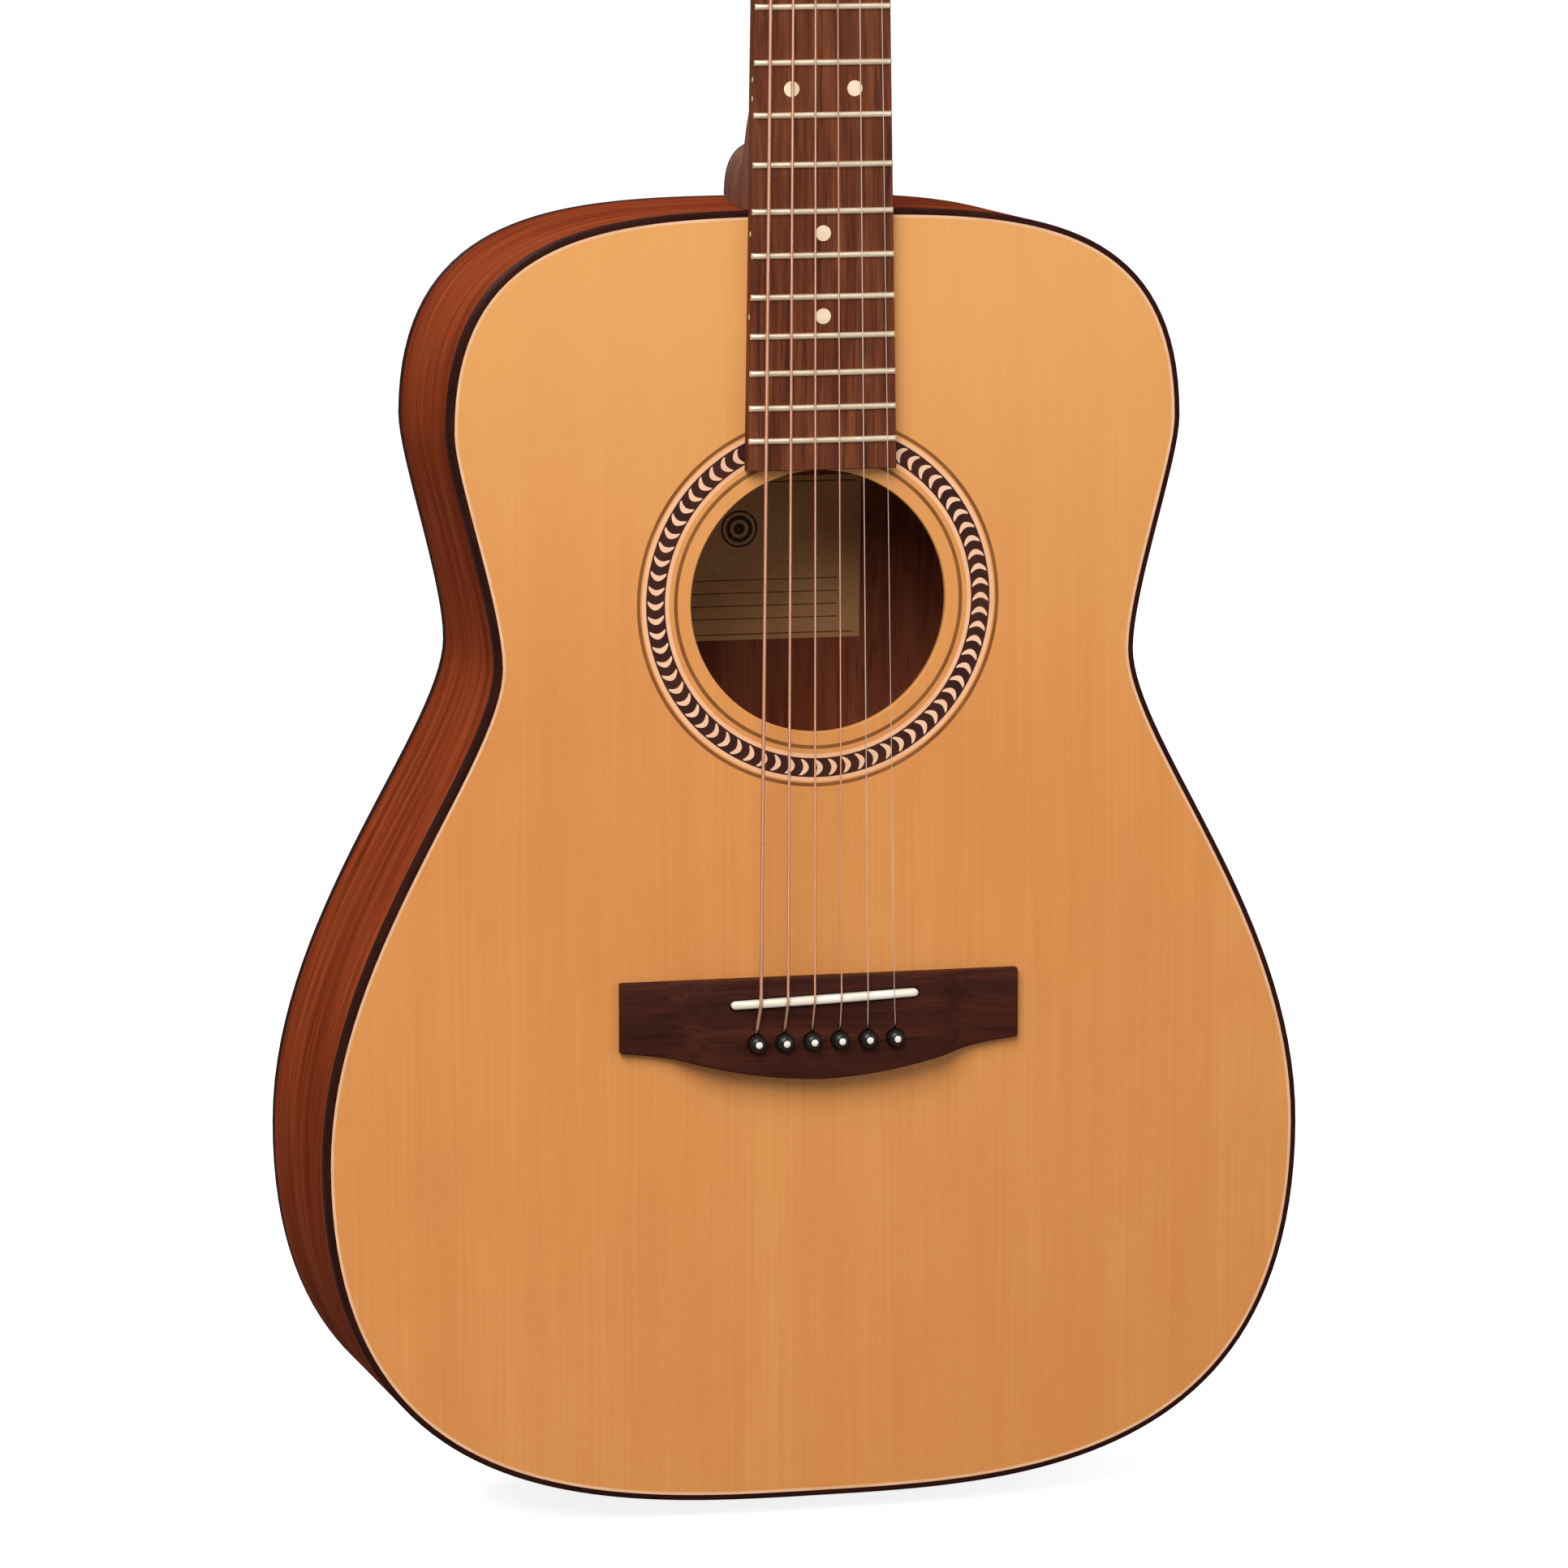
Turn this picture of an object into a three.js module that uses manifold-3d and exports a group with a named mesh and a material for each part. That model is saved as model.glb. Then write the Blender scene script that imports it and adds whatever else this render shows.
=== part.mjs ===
// Steel-string acoustic guitar, concert size, built the way a luthier builds one: a braced top and a
// braced, arched back on bent sides, a bolted-up neck with its fretboard, and geared tuning machines.
//
// Millimetres. The guitar stands on its tail: +Z runs up the neck, the top faces -Y, the bass side is -X.
// Pieces are drawn about the saddle line on the top's surface, then the whole instrument is shifted so that
// the origin is the centre of the end pin's flat outer face.

import * as THREE from "three";
import { mergeVertices } from "three/addons/utils/BufferGeometryUtils.js";
import Module from "manifold-3d";

// ---- Driving dimensions -------------------------------------------------------------------------------

const SCALE_LENGTH = 648;
const FRETS = 20;
const BODY_FRET = 14;
const GLUE = 0.15; // gap left at a glued face
const FIT = 0.3; // gap left round a fitted piece

// The top's edge inside its binding: widths are half widths, heights are above the saddle line.
const TAIL_Z = -194.1;
const LOWER_BOUT = { x: 186.2, z: -62 };
const WAIST = { x: 120.2, z: 122.2 };
const UPPER_BOUT = { x: 137.9, z: 209.1 };
const SHOULDER_Z = 286.6;
const OUTLINE_STEPS = [12, 7, 4, 9]; // chords along the four curves of a half outline, tail to shoulder

const TOP_THICKNESS = 2.8;
const BACK_THICKNESS = 2.6;
const SIDE_THICKNESS = 2.2;
const BODY_DEPTH = 102.5; // on the centre line at the saddle
const DEPTH_TAPER = 0.05; // depth lost per millimetre towards the neck
const BACK_RADIUS = 6000; // arch of the back across the body
const BINDING = { width: 2.2, height: 6 };
const LINING = { width: 6.2, height: 14.5 };

const HOLE = { z: 143.5, radius: 48.9 };
const ROSETTE = { inner: 54.2, outer: 70, depth: 1.2 };

const BRIDGE = { halfWidth: 76.8, top: 3, endBottom: -23.4, middleBottom: -35.2, height: 9, wing: 3.4 };
const SADDLE = { halfLength: 36, thickness: 3, z: -4.8, slant: 1.75, crown: 12, foot: 3.6 };
const PINS = { pitch: 10.7, z: -20.6, hole: 2.9, shaft: 2.5, head: 3.4 };
const STRING_SLOT = 4.4; // from a pin's centre to its string's

const NUT_WIDTH = 43;
const BOARD_END = { z: 193, width: 56.9 };
const BOARD_THICKNESS = 6.2;
const BOARD_RADIUS = 406;
const FRET = { height: 1.1, width: 2.2 };
const NUT = { thickness: 5.4, rise: 2.2 };

const NECK_DEPTH = { nut: 14.5, body: 16.5 };
const HEEL = { capWidth: 27, capLength: 20, topWidth: 54, sweep: 40, sweepDecay: 9, power: 2.5 };
const TENON = { halfWidth: 11, front: 18.5, back: 66, length: 18 };
const BLOCK = { neckHalfWidth: 38, neckLength: 42, tailHalfWidth: 40, tailLength: 16 };

const HEAD_TILT = 14;
const HEAD = { length: 178, thickness: 14, base: 21.5, shoulder: 30, tip: 33.5, veneer: 1.8 };
const POSTS = [
  { x: 23, v: 38 },
  { x: 23.5, v: 81 },
  { x: 24, v: 124 },
];
const POST = { radius: 3, wheel: 5.3, tip: 12.5 };
const GEARBOX = { front: 14.4, back: 27, wall: 1.3, half: 7.2, wormSide: 13, wormOffset: 8.4, wormDepth: 21 };
const KNOB = { halfWidth: 9, halfThickness: 4.6, length: 13, gap: 13.5 };

// Strings from the thinnest, on the treble side, to the thickest.
const STRING_DIAMETERS = [0.3, 0.41, 0.61, 0.81, 1.07, 1.35];
const STRINGS = { nutHalfSpan: 17.6, saddleHalfSpan: 25.8, saddleCentre: 0.5, clearance: 0.45 };

const END_PIN = { length: 8, face: 5.4, bulge: 7.2, waist: 4.8, shaft: 4, buried: 17 };

const COLOURS = {
  spruce: { color: 0xd8955a, roughness: 0.35, metalness: 0 },
  braceSpruce: { color: 0xd9b988, roughness: 0.8, metalness: 0 },
  mahogany: { color: 0x7d3219, roughness: 0.4, metalness: 0 },
  blackPlastic: { color: 0x1b1210, roughness: 0.3, metalness: 0 },
  rosewood: { color: 0x4a2a1e, roughness: 0.5, metalness: 0 },
  rosette: { color: 0x6b4630, roughness: 0.35, metalness: 0 },
  bone: { color: 0xf0e8da, roughness: 0.4, metalness: 0 },
  chrome: { color: 0xc9cbd0, roughness: 0.18, metalness: 1 },
  steel: { color: 0xb8b8bc, roughness: 0.3, metalness: 1 },
  bronze: { color: 0xb98a5e, roughness: 0.35, metalness: 1 },
};

// ---- Geometry helpers ---------------------------------------------------------------------------------

const wasm = await Module();
wasm.setup();

const v3 = (x, y, z) => new THREE.Vector3(x, y, z);
const radians = THREE.MathUtils.degToRad;
const lerp = THREE.MathUtils.lerp;

function signedVolume(geometry) {
  const p = geometry.getAttribute("position");
  const corners = geometry.index.array;
  const [a, b, c] = [v3(), v3(), v3()];
  let volume = 0;
  for (let i = 0; i < corners.length; i += 3) {
    a.fromBufferAttribute(p, corners[i]);
    b.fromBufferAttribute(p, corners[i + 1]);
    c.fromBufferAttribute(p, corners[i + 2]);
    volume += a.dot(b.cross(c)) / 6;
  }
  return volume;
}

// A closed body from shared corners and triangles; turned inside out if its faces point inwards.
function closedBody(points, triangles) {
  const geometry = new THREE.BufferGeometry().setFromPoints(points);
  geometry.setIndex(triangles);
  if (signedVolume(geometry) < 0) geometry.setIndex(triangles.reverse());
  geometry.computeVertexNormals();
  return geometry;
}

// A body through a row of convex cross-sections with equal corner counts; closed when it comes back round.
function loft(sections, ring = false) {
  const corners = sections[0].length;
  const spans = ring ? sections.length : sections.length - 1;
  const triangles = [];
  for (let i = 0; i < spans; i++) {
    const a = i * corners;
    const b = ((i + 1) % sections.length) * corners;
    for (let j = 0; j < corners; j++) {
      const k = (j + 1) % corners;
      triangles.push(a + j, b + j, b + k, a + j, b + k, a + k);
    }
  }
  if (!ring) {
    const last = (sections.length - 1) * corners;
    for (let j = 1; j < corners - 1; j++) {
      triangles.push(0, j, j + 1, last, last + j + 1, last + j);
    }
  }
  return closedBody(sections.flat(), triangles);
}

// A plate cut to a shape drawn in X and Z, from depth y0 to depth y1.
function plate(shape, y0, y1, curveSegments = 12) {
  const geometry = new THREE.ExtrudeGeometry(shape, { depth: y1 - y0, bevelEnabled: false, curveSegments });
  return geometry.rotateX(Math.PI / 2).translate(0, y1, 0);
}

// A block between two corners.
function block([x0, y0, z0], [x1, y1, z1]) {
  const geometry = new THREE.BoxGeometry(x1 - x0, y1 - y0, z1 - z0);
  return geometry.translate((x0 + x1) / 2, (y0 + y1) / 2, (z0 + z1) / 2);
}

// A turned body about the Z axis from [radius, height] pairs.
function turned(profile, sides = 12) {
  return new THREE.LatheGeometry(profile.map(([r, z]) => new THREE.Vector2(r, z)), sides).rotateX(Math.PI / 2);
}

const rod = (radius, z0, z1, sides = 12) => turned([[0, z0], [radius, z0], [radius, z1], [0, z1]], sides);

function solid(geometry) {
  const bare = geometry.clone();
  bare.deleteAttribute("normal");
  bare.deleteAttribute("uv");
  const merged = mergeVertices(bare, 1e-4);
  const triVerts = new Uint32Array(merged.index.array);
  return new wasm.Manifold(
    new wasm.Mesh({ numProp: 3, vertProperties: merged.attributes.position.array, triVerts }),
  );
}

function surface(manifold) {
  const mesh = manifold.getMesh();
  const geometry = new THREE.BufferGeometry();
  geometry.setAttribute("position", new THREE.BufferAttribute(mesh.vertProperties, 3));
  geometry.setIndex(new THREE.BufferAttribute(mesh.triVerts, 1));
  geometry.computeVertexNormals();
  return geometry;
}

const cut = (body, ...tools) => surface(tools.reduce((s, tool) => s.subtract(solid(tool)), solid(body)));
const join = (...bodies) => surface(bodies.map(solid).reduce((a, b) => a.add(b)));
const common = (a, b) => surface(solid(a).intersect(solid(b)));

// ---- Frames, groups and naming ------------------------------------------------------------------------

const part = new THREE.Group();
const tailFaceZ = TAIL_Z - BINDING.width - END_PIN.length;
const endPinY = (BODY_DEPTH - DEPTH_TAPER * TAIL_Z) / 2;
const guitar = new THREE.Group();
guitar.position.set(0, -endPinY, -tailFaceZ);
part.add(guitar);

// The headstock's own frame: its front face is y = 0, its length runs up z, and it leans back from the nut.
const headStart = SCALE_LENGTH + NUT.thickness + 0.9;
const headstock = new THREE.Group();
headstock.position.set(0, 0, headStart);
headstock.rotation.x = -radians(HEAD_TILT);
guitar.add(headstock);
headstock.updateMatrix();

function add(name, geometry, colour, parent = guitar) {
  const mesh = new THREE.Mesh(geometry, new THREE.MeshStandardMaterial(COLOURS[colour]));
  mesh.name = name;
  parent.add(mesh);
  return mesh;
}

// ---- Body outline and back arch -----------------------------------------------------------------------

const v2 = (x, z) => new THREE.Vector2(x, z);
const HALF_OUTLINE = [
  [v2(0, TAIL_Z), v2(75.3, TAIL_Z), v2(LOWER_BOUT.x, LOWER_BOUT.z - 133.7), v2(LOWER_BOUT.x, LOWER_BOUT.z)],
  [v2(LOWER_BOUT.x, LOWER_BOUT.z), v2(LOWER_BOUT.x, LOWER_BOUT.z + 79.2), v2(WAIST.x, WAIST.z - 35.5), v2(WAIST.x, WAIST.z)],
  [v2(WAIST.x, WAIST.z), v2(WAIST.x, WAIST.z + 22.5), v2(UPPER_BOUT.x, UPPER_BOUT.z - 16.2), v2(UPPER_BOUT.x, UPPER_BOUT.z)],
  [v2(UPPER_BOUT.x, UPPER_BOUT.z), v2(UPPER_BOUT.x, UPPER_BOUT.z + 78.7), v2(71, SHOULDER_Z), v2(0, SHOULDER_Z)],
].map((corners) => new THREE.CubicBezierCurve(...corners));

// Treble half of the body outline, tail to shoulder, set in from the outside of the binding.
function halfOutline(inset) {
  const push = BINDING.width - inset;
  return HALF_OUTLINE.flatMap((curve, k) => {
    const first = k === 0 ? 0 : 1;
    return Array.from({ length: OUTLINE_STEPS[k] + 1 - first }, (_, i) => {
      const t = (i + first) / OUTLINE_STEPS[k];
      const along = curve.getTangent(t);
      return curve.getPoint(t).add(v2(along.y, -along.x).multiplyScalar(push));
    });
  });
}

function fullOutline(inset) {
  const half = halfOutline(inset);
  half[0].x = 0;
  half.at(-1).x = 0;
  return [...half, ...half.slice(1, -1).reverse().map((p) => v2(-p.x, p.y))];
}

const backY = (x, z) => BODY_DEPTH - DEPTH_TAPER * z - (x * x) / (2 * BACK_RADIUS);
const backInside = (x, z) => backY(x, z) - BACK_THICKNESS;

// A strip that follows a run of outline points, from one inset to another and one depth to another.
function strip(outer, inner, front, back, ring) {
  const sections = outer.map((p, i) => {
    const q = inner[i];
    return [
      v3(p.x, front(p.x, p.y), p.y),
      v3(p.x, back(p.x, p.y), p.y),
      v3(q.x, back(q.x, q.y), q.y),
      v3(q.x, front(q.x, q.y), q.y),
    ];
  });
  return loft(sections, ring);
}

// ---- Top, rosette, bridge and saddle ------------------------------------------------------------------

const pinX = (string) => STRINGS.saddleCentre + (3.5 - string) * PINS.pitch;

// One pin hole with the slot in front of it that its string goes down.
function pinHole(string) {
  const slot = STRING_DIAMETERS[string - 1] / 2 + FIT;
  const edge = Math.acos(slot / PINS.hole);
  const shape = new THREE.Shape();
  shape.absarc(0, 0, PINS.hole, Math.PI - edge, 2 * Math.PI + edge, false);
  shape.lineTo(slot, STRING_SLOT + slot);
  shape.lineTo(-slot, STRING_SLOT + slot);
  return plate(shape, -20, 30, 6).translate(pinX(string), 0, PINS.z);
}

function ringPlate(inner, outer, y0, y1, segments) {
  const shape = new THREE.Shape().absarc(0, 0, outer, 0, 2 * Math.PI, false);
  shape.holes.push(new THREE.Path().absarc(0, 0, inner, 0, 2 * Math.PI, true));
  return plate(shape, y0, y1, segments).translate(0, 0, HOLE.z);
}

const strings = [1, 2, 3, 4, 5, 6];
const pinHoles = strings.map(pinHole);

const topShape = new THREE.Shape(fullOutline(BINDING.width + GLUE));
topShape.holes.push(new THREE.Path().absarc(0, HOLE.z, HOLE.radius, 0, 2 * Math.PI, true));
const rosetteChannel = ringPlate(ROSETTE.inner - FIT, ROSETTE.outer + FIT, -1, ROSETTE.depth + GLUE, 20);
add("soundboard", cut(plate(topShape, 0, TOP_THICKNESS, 20), rosetteChannel, ...pinHoles), "spruce");
add("rosette", ringPlate(ROSETTE.inner, ROSETTE.outer, 0, ROSETTE.depth, 20), "rosette");

function bridgePlan() {
  const shape = new THREE.Shape();
  const { halfWidth, top, endBottom, middleBottom } = BRIDGE;
  shape.moveTo(-halfWidth, top);
  shape.lineTo(-halfWidth, endBottom);
  shape.bezierCurveTo(-46, endBottom - 2.6, -38, middleBottom + 1.3, 0, middleBottom);
  shape.bezierCurveTo(38, middleBottom + 1.3, 46, endBottom - 2.6, halfWidth, endBottom);
  shape.lineTo(halfWidth, top);
  return shape;
}

// Seen from the tail: a level middle that dips in a curve to a thin wing at each end.
function bridgeElevation() {
  const shape = new THREE.Shape();
  const { halfWidth, height, wing } = BRIDGE;
  shape.moveTo(-halfWidth - 1, -GLUE);
  shape.lineTo(-halfWidth - 1, -wing);
  shape.lineTo(-62, -wing);
  shape.bezierCurveTo(-52, -wing, -50, -height, -42, -height);
  shape.lineTo(42, -height);
  shape.bezierCurveTo(50, -height, 52, -wing, 62, -wing);
  shape.lineTo(halfWidth + 1, -wing);
  shape.lineTo(halfWidth + 1, -GLUE);
  return new THREE.ExtrudeGeometry(shape, { depth: 60, bevelEnabled: false, curveSegments: 5 }).translate(0, 0, -45);
}

const saddleTurn = -radians(SADDLE.slant);
const saddleZ = (x) => SADDLE.z + x * Math.tan(radians(SADDLE.slant));
const saddleTop = (x) => -SADDLE.crown + (x * x) / (2 * BOARD_RADIUS);

const saddleSlot = block(
  [-SADDLE.halfLength - FIT, -20, -SADDLE.thickness / 2 - FIT],
  [SADDLE.halfLength + FIT, -SADDLE.foot + GLUE, SADDLE.thickness / 2 + FIT],
).rotateY(saddleTurn).translate(0, 0, SADDLE.z);
const bridgeBlank = common(plate(bridgePlan(), -20, 5, 8), bridgeElevation());
add("bridge", cut(bridgeBlank, saddleSlot, ...pinHoles), "rosewood");

const acrossSaddle = [-1, -0.6, -0.2, 0.2, 0.6, 1].map((s) => s * SADDLE.halfLength);
const saddle = loft(
  acrossSaddle.map((x) => [
    v3(x, -SADDLE.foot, -SADDLE.thickness / 2),
    v3(x, saddleTop(x), -SADDLE.thickness / 2),
    v3(x, saddleTop(x), SADDLE.thickness / 2),
    v3(x, -SADDLE.foot, SADDLE.thickness / 2),
  ]),
);
add("saddle", saddle.rotateY(saddleTurn).translate(0, 0, SADDLE.z), "bone");

const PIN_PROFILE = [
  [0, -12],
  [2.2, -12],
  [PINS.shaft - 0.1, 9.5],
  [PINS.head, 9.3],
  [PINS.head, 11.4],
  [2.2, 13.2],
  [0, 13.5],
];
for (const string of strings) {
  const pin = turned(PIN_PROFILE, 10).rotateX(Math.PI / 2).translate(pinX(string), 0, PINS.z);
  add(`bridge_pin_${string}`, pin, "blackPlastic");
}

// ---- Top bracing --------------------------------------------------------------------------------------

// A bar glued to a plate between two [x, z] points, with its ends carved down. The seat gives the depth of
// the glued face, and inwards is +1 on the top and -1 on the back.
function brace(from, to, width, height, seat, inwards) {
  const along = v2(to[0] - from[0], to[1] - from[1]);
  const side = v2(-along.y, along.x).normalize();
  const stations = [0, 0.1, 0.28, 0.5, 0.72, 0.9, 1];
  return loft(
    stations.map((s) => {
      const centre = v2(...from).addScaledVector(along, s);
      const rise = height * Math.min(1, 0.22 + 2.8 * s, 0.22 + 2.8 * (1 - s));
      const at = (offset, lift) => {
        const p = centre.clone().addScaledVector(side, offset);
        return v3(p.x, seat(p.x, p.y) + inwards * (GLUE + lift), p.y);
      };
      return [at(-width / 2, 0), at(-width / 4, rise), at(width / 4, rise), at(width / 2, 0)];
    }),
  );
}

// A straight bar of rectangular section, used to cut the half laps where the X braces cross.
function bar(from, to, width, y0, y1) {
  const along = v2(to[0] - from[0], to[1] - from[1]);
  const side = v2(-along.y, along.x).setLength(width / 2);
  const shape = new THREE.Shape([
    v2(...from).add(side),
    v2(...from).sub(side),
    v2(...to).sub(side),
    v2(...to).add(side),
  ]);
  return plate(shape, y0, y1);
}

const onTop = () => TOP_THICKNESS;
const X_BRACE = { upper: [108, 162], lower: [163, -75], width: 8, height: 14 };
const lapDepth = TOP_THICKNESS + X_BRACE.height / 2;
const mirror = ([x, z]) => [-x, z];
// Each brace of the X runs from one upper bout across the centre line to the opposite lower bout.
const bassLegs = [mirror(X_BRACE.upper), X_BRACE.lower];
const trebleLegs = [X_BRACE.upper, mirror(X_BRACE.lower)];
const lapWidth = X_BRACE.width + 2 * FIT;
add(
  "x_brace_bass",
  cut(brace(...bassLegs, X_BRACE.width, X_BRACE.height, onTop, 1), bar(...trebleLegs, lapWidth, lapDepth, 30)),
  "braceSpruce",
);
add(
  "x_brace_treble",
  cut(brace(...trebleLegs, X_BRACE.width, X_BRACE.height, onTop, 1), bar(...bassLegs, lapWidth, 0, lapDepth + FIT)),
  "braceSpruce",
);
add("transverse_brace", brace([-122, 224], [122, 224], 10, 14, onTop, 1), "braceSpruce");
add("tone_bar_1", brace([-92, -62], [96, -96], 7, 10, onTop, 1), "braceSpruce");
add("tone_bar_2", brace([-100, -104], [62, -148], 7, 10, onTop, 1), "braceSpruce");

const bridgePlateShape = new THREE.Shape([v2(-88, -42), v2(88, -42), v2(46, 6), v2(-46, 6)]);
const bridgePlateBlank = plate(bridgePlateShape, TOP_THICKNESS + GLUE, TOP_THICKNESS + 2.8);
add("bridge_plate", cut(bridgePlateBlank, ...pinHoles), "rosewood");

// ---- Sides, bindings, linings and blocks --------------------------------------------------------------

const sideInner = SIDE_THICKNESS;
const sideFront = () => BINDING.height + GLUE;
const sideBack = (x, z) => backY(x, z) - BINDING.height - GLUE;

// The end pin goes through the seam of the sides and into the tail block.
const tailBore = rod(END_PIN.shaft + FIT, -30, END_PIN.buried + 8, 10).translate(0, endPinY, TAIL_Z);

// One bent side, from the seam at the tail to the neck's tenon.
function side(sign) {
  const run = (inset) => {
    const points = halfOutline(inset);
    points[0].x = FIT / 2;
    points.at(-1).x = TENON.halfWidth + FIT;
    return points.map((p) => v2(sign * p.x, p.y));
  };
  return cut(strip(run(0), run(sideInner), sideFront, sideBack, false), tailBore);
}
add("bass_side", side(-1), "mahogany");
add("treble_side", side(1), "mahogany");

const bindingInner = BINDING.width;
add("top_binding", strip(fullOutline(0), fullOutline(bindingInner), () => 0, () => BINDING.height, true), "blackPlastic");
const backBindingFront = (x, z) => backY(x, z) - BINDING.height;
add("back_binding", strip(fullOutline(0), fullOutline(bindingInner), backBindingFront, backY, true), "blackPlastic");

// Triangular strips that widen the gluing edge of the sides.
const liningOuter = fullOutline(sideInner + GLUE);
const liningInner = fullOutline(sideInner + LINING.width);
function lining(seat, inwards) {
  const sections = liningOuter.map((p, i) => {
    const q = liningInner[i];
    return [
      v3(p.x, seat(p.x, p.y) + inwards * GLUE, p.y),
      v3(p.x, seat(p.x, p.y) + inwards * LINING.height, p.y),
      v3(q.x, seat(q.x, q.y) + inwards * GLUE, q.y),
    ];
  });
  return loft(sections, true);
}
add("top_lining", lining(onTop, 1), "mahogany");
add("back_lining", lining(backInside, -1), "mahogany");

// A block that fills the body's end between top and back, let in round both linings.
function endBlock(halfWidth, atTail, length) {
  // Half of the block's plan: the body's curve from the centre line out to the block's edge, then its foot.
  const outline = (inset) => {
    const run = atTail ? halfOutline(inset) : halfOutline(inset).reverse();
    const beyond = run.findIndex((p) => p.x > halfWidth);
    const curve = run.slice(0, beyond);
    curve[0].x = 0;
    const t = (halfWidth - curve.at(-1).x) / (run[beyond].x - curve.at(-1).x);
    const corner = curve.at(-1).clone().lerp(run[beyond], t);
    const foot = v2(halfWidth, curve[0].y + (atTail ? length : -length));
    const right = [...curve, corner, foot];
    return [...right, ...right.slice(1).reverse().map((p) => v2(-p.x, p.y))];
  };
  const full = new THREE.Shape(outline(sideInner + GLUE));
  const notched = new THREE.Shape(outline(sideInner + LINING.width + FIT));
  const reach = LINING.height + FIT;
  const zs = outline(sideInner).map((p) => p.y);
  const backAtEdge = Math.min(backInside(halfWidth, Math.max(...zs)), backInside(halfWidth, Math.min(...zs)));
  return join(
    plate(full, TOP_THICKNESS + reach, backAtEdge - reach - 1),
    plate(notched, TOP_THICKNESS + GLUE, backAtEdge - 4 * GLUE),
  );
}
const mortise = block(
  [-TENON.halfWidth - FIT, TENON.front - FIT, SHOULDER_Z - TENON.length - FIT],
  [TENON.halfWidth + FIT, TENON.back + FIT, SHOULDER_Z + 10],
);
add("neck_block", cut(endBlock(BLOCK.neckHalfWidth, false, BLOCK.neckLength), mortise), "mahogany");
add("tail_block", cut(endBlock(BLOCK.tailHalfWidth, true, BLOCK.tailLength), tailBore), "mahogany");

// ---- Back plate and its braces ------------------------------------------------------------------------

// The back bends across its width only, so it is built from rows of points across the outline.
function archedBack() {
  const half = halfOutline(BINDING.width + GLUE);
  const columns = 6;
  const points = [];
  const row = (p, depth) => {
    const start = points.length;
    if (p.x < 0.5) {
      points.push(v3(0, depth(0, p.y), p.y));
      return Array(columns + 1).fill(start);
    }
    for (let k = 0; k <= columns; k++) {
      const x = lerp(-p.x, p.x, k / columns);
      points.push(v3(x, depth(x, p.y), p.y));
    }
    return Array.from({ length: columns + 1 }, (_, k) => start + k);
  };
  const outside = half.map((p) => row(p, backY));
  const inside = half.map((p) => row(p, backInside));
  const triangles = [];
  const face = (a, b, c) => {
    if (a !== b && b !== c && c !== a) triangles.push(a, b, c);
  };
  const quad = (a, b, c, d) => {
    face(a, b, c);
    face(a, c, d);
  };
  for (let i = 0; i < half.length - 1; i++) {
    for (let k = 0; k < columns; k++) {
      quad(outside[i][k], outside[i][k + 1], outside[i + 1][k + 1], outside[i + 1][k]);
      quad(inside[i][k], inside[i + 1][k], inside[i + 1][k + 1], inside[i][k + 1]);
    }
    quad(outside[i][0], outside[i + 1][0], inside[i + 1][0], inside[i][0]);
    quad(outside[i][columns], inside[i][columns], inside[i + 1][columns], outside[i + 1][columns]);
  }
  return closedBody(points, triangles);
}
add("back", archedBack(), "mahogany");

const BACK_BRACES = [
  { z: 234, reach: 118, width: 8, height: 15 },
  { z: 187, reach: 116, width: 8, height: 15 },
  { z: 58, reach: 128, width: 15, height: 9 },
  { z: -84, reach: 164, width: 15, height: 9 },
];
BACK_BRACES.forEach(({ z, reach, width, height }, i) => {
  add(`back_brace_${i + 1}`, brace([-reach, z], [reach, z], width, height, backInside, -1), "braceSpruce");
});

// ---- End pin ------------------------------------------------------------------------------------------

const endPin = turned([
  [0, 0],
  [END_PIN.face, 0],
  [END_PIN.bulge, 1.4],
  [END_PIN.bulge, 2.4],
  [END_PIN.waist, 4.4],
  [END_PIN.waist, 5.4],
  [END_PIN.bulge, END_PIN.length - 1.2],
  [END_PIN.bulge, END_PIN.length - FIT],
  [END_PIN.shaft, END_PIN.length - FIT],
  [END_PIN.shaft - 0.6, END_PIN.length + END_PIN.buried],
  [0, END_PIN.length + END_PIN.buried],
]);
add("end_pin", endPin.translate(0, endPinY, tailFaceZ), "blackPlastic");

// ---- Fretboard and nut --------------------------------------------------------------------------------

const fretZ = (n) => SCALE_LENGTH * 2 ** (-n / 12);
const boardHalf = (z) => {
  const t = (SCALE_LENGTH - z) / (SCALE_LENGTH - BOARD_END.z);
  return lerp(NUT_WIDTH, BOARD_END.width, t) / 2;
};
const boardTop = (x) => -BOARD_THICKNESS + (x * x) / (2 * BOARD_RADIUS);
const ACROSS = [-1, -1 / 3, 1 / 3, 1];

function boardSection(z) {
  const half = boardHalf(z);
  const top = ACROSS.map((s) => v3(s * half, boardTop(s * half), z));
  return [v3(-half, -GLUE, z), ...top, v3(half, -GLUE, z)];
}

function fretWire(n) {
  const z = fretZ(n);
  const half = boardHalf(z) - 0.3;
  return loft(
    ACROSS.map((s) => {
      const x = s * half;
      const seat = boardTop(x);
      return [
        v3(x, seat + 0.4, z - FRET.width / 2),
        v3(x, seat + 0.4, z + FRET.width / 2),
        v3(x, seat - FRET.height, z + FRET.width / 5),
        v3(x, seat - FRET.height, z - FRET.width / 5),
      ];
    }),
  );
}
const fretWires = Array.from({ length: FRETS }, (_, i) => fretWire(i + 1));
const board = loft([boardSection(BOARD_END.z), boardSection(SCALE_LENGTH - GLUE)]);
add("fretboard", join(board, ...fretWires), "rosewood");

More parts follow.
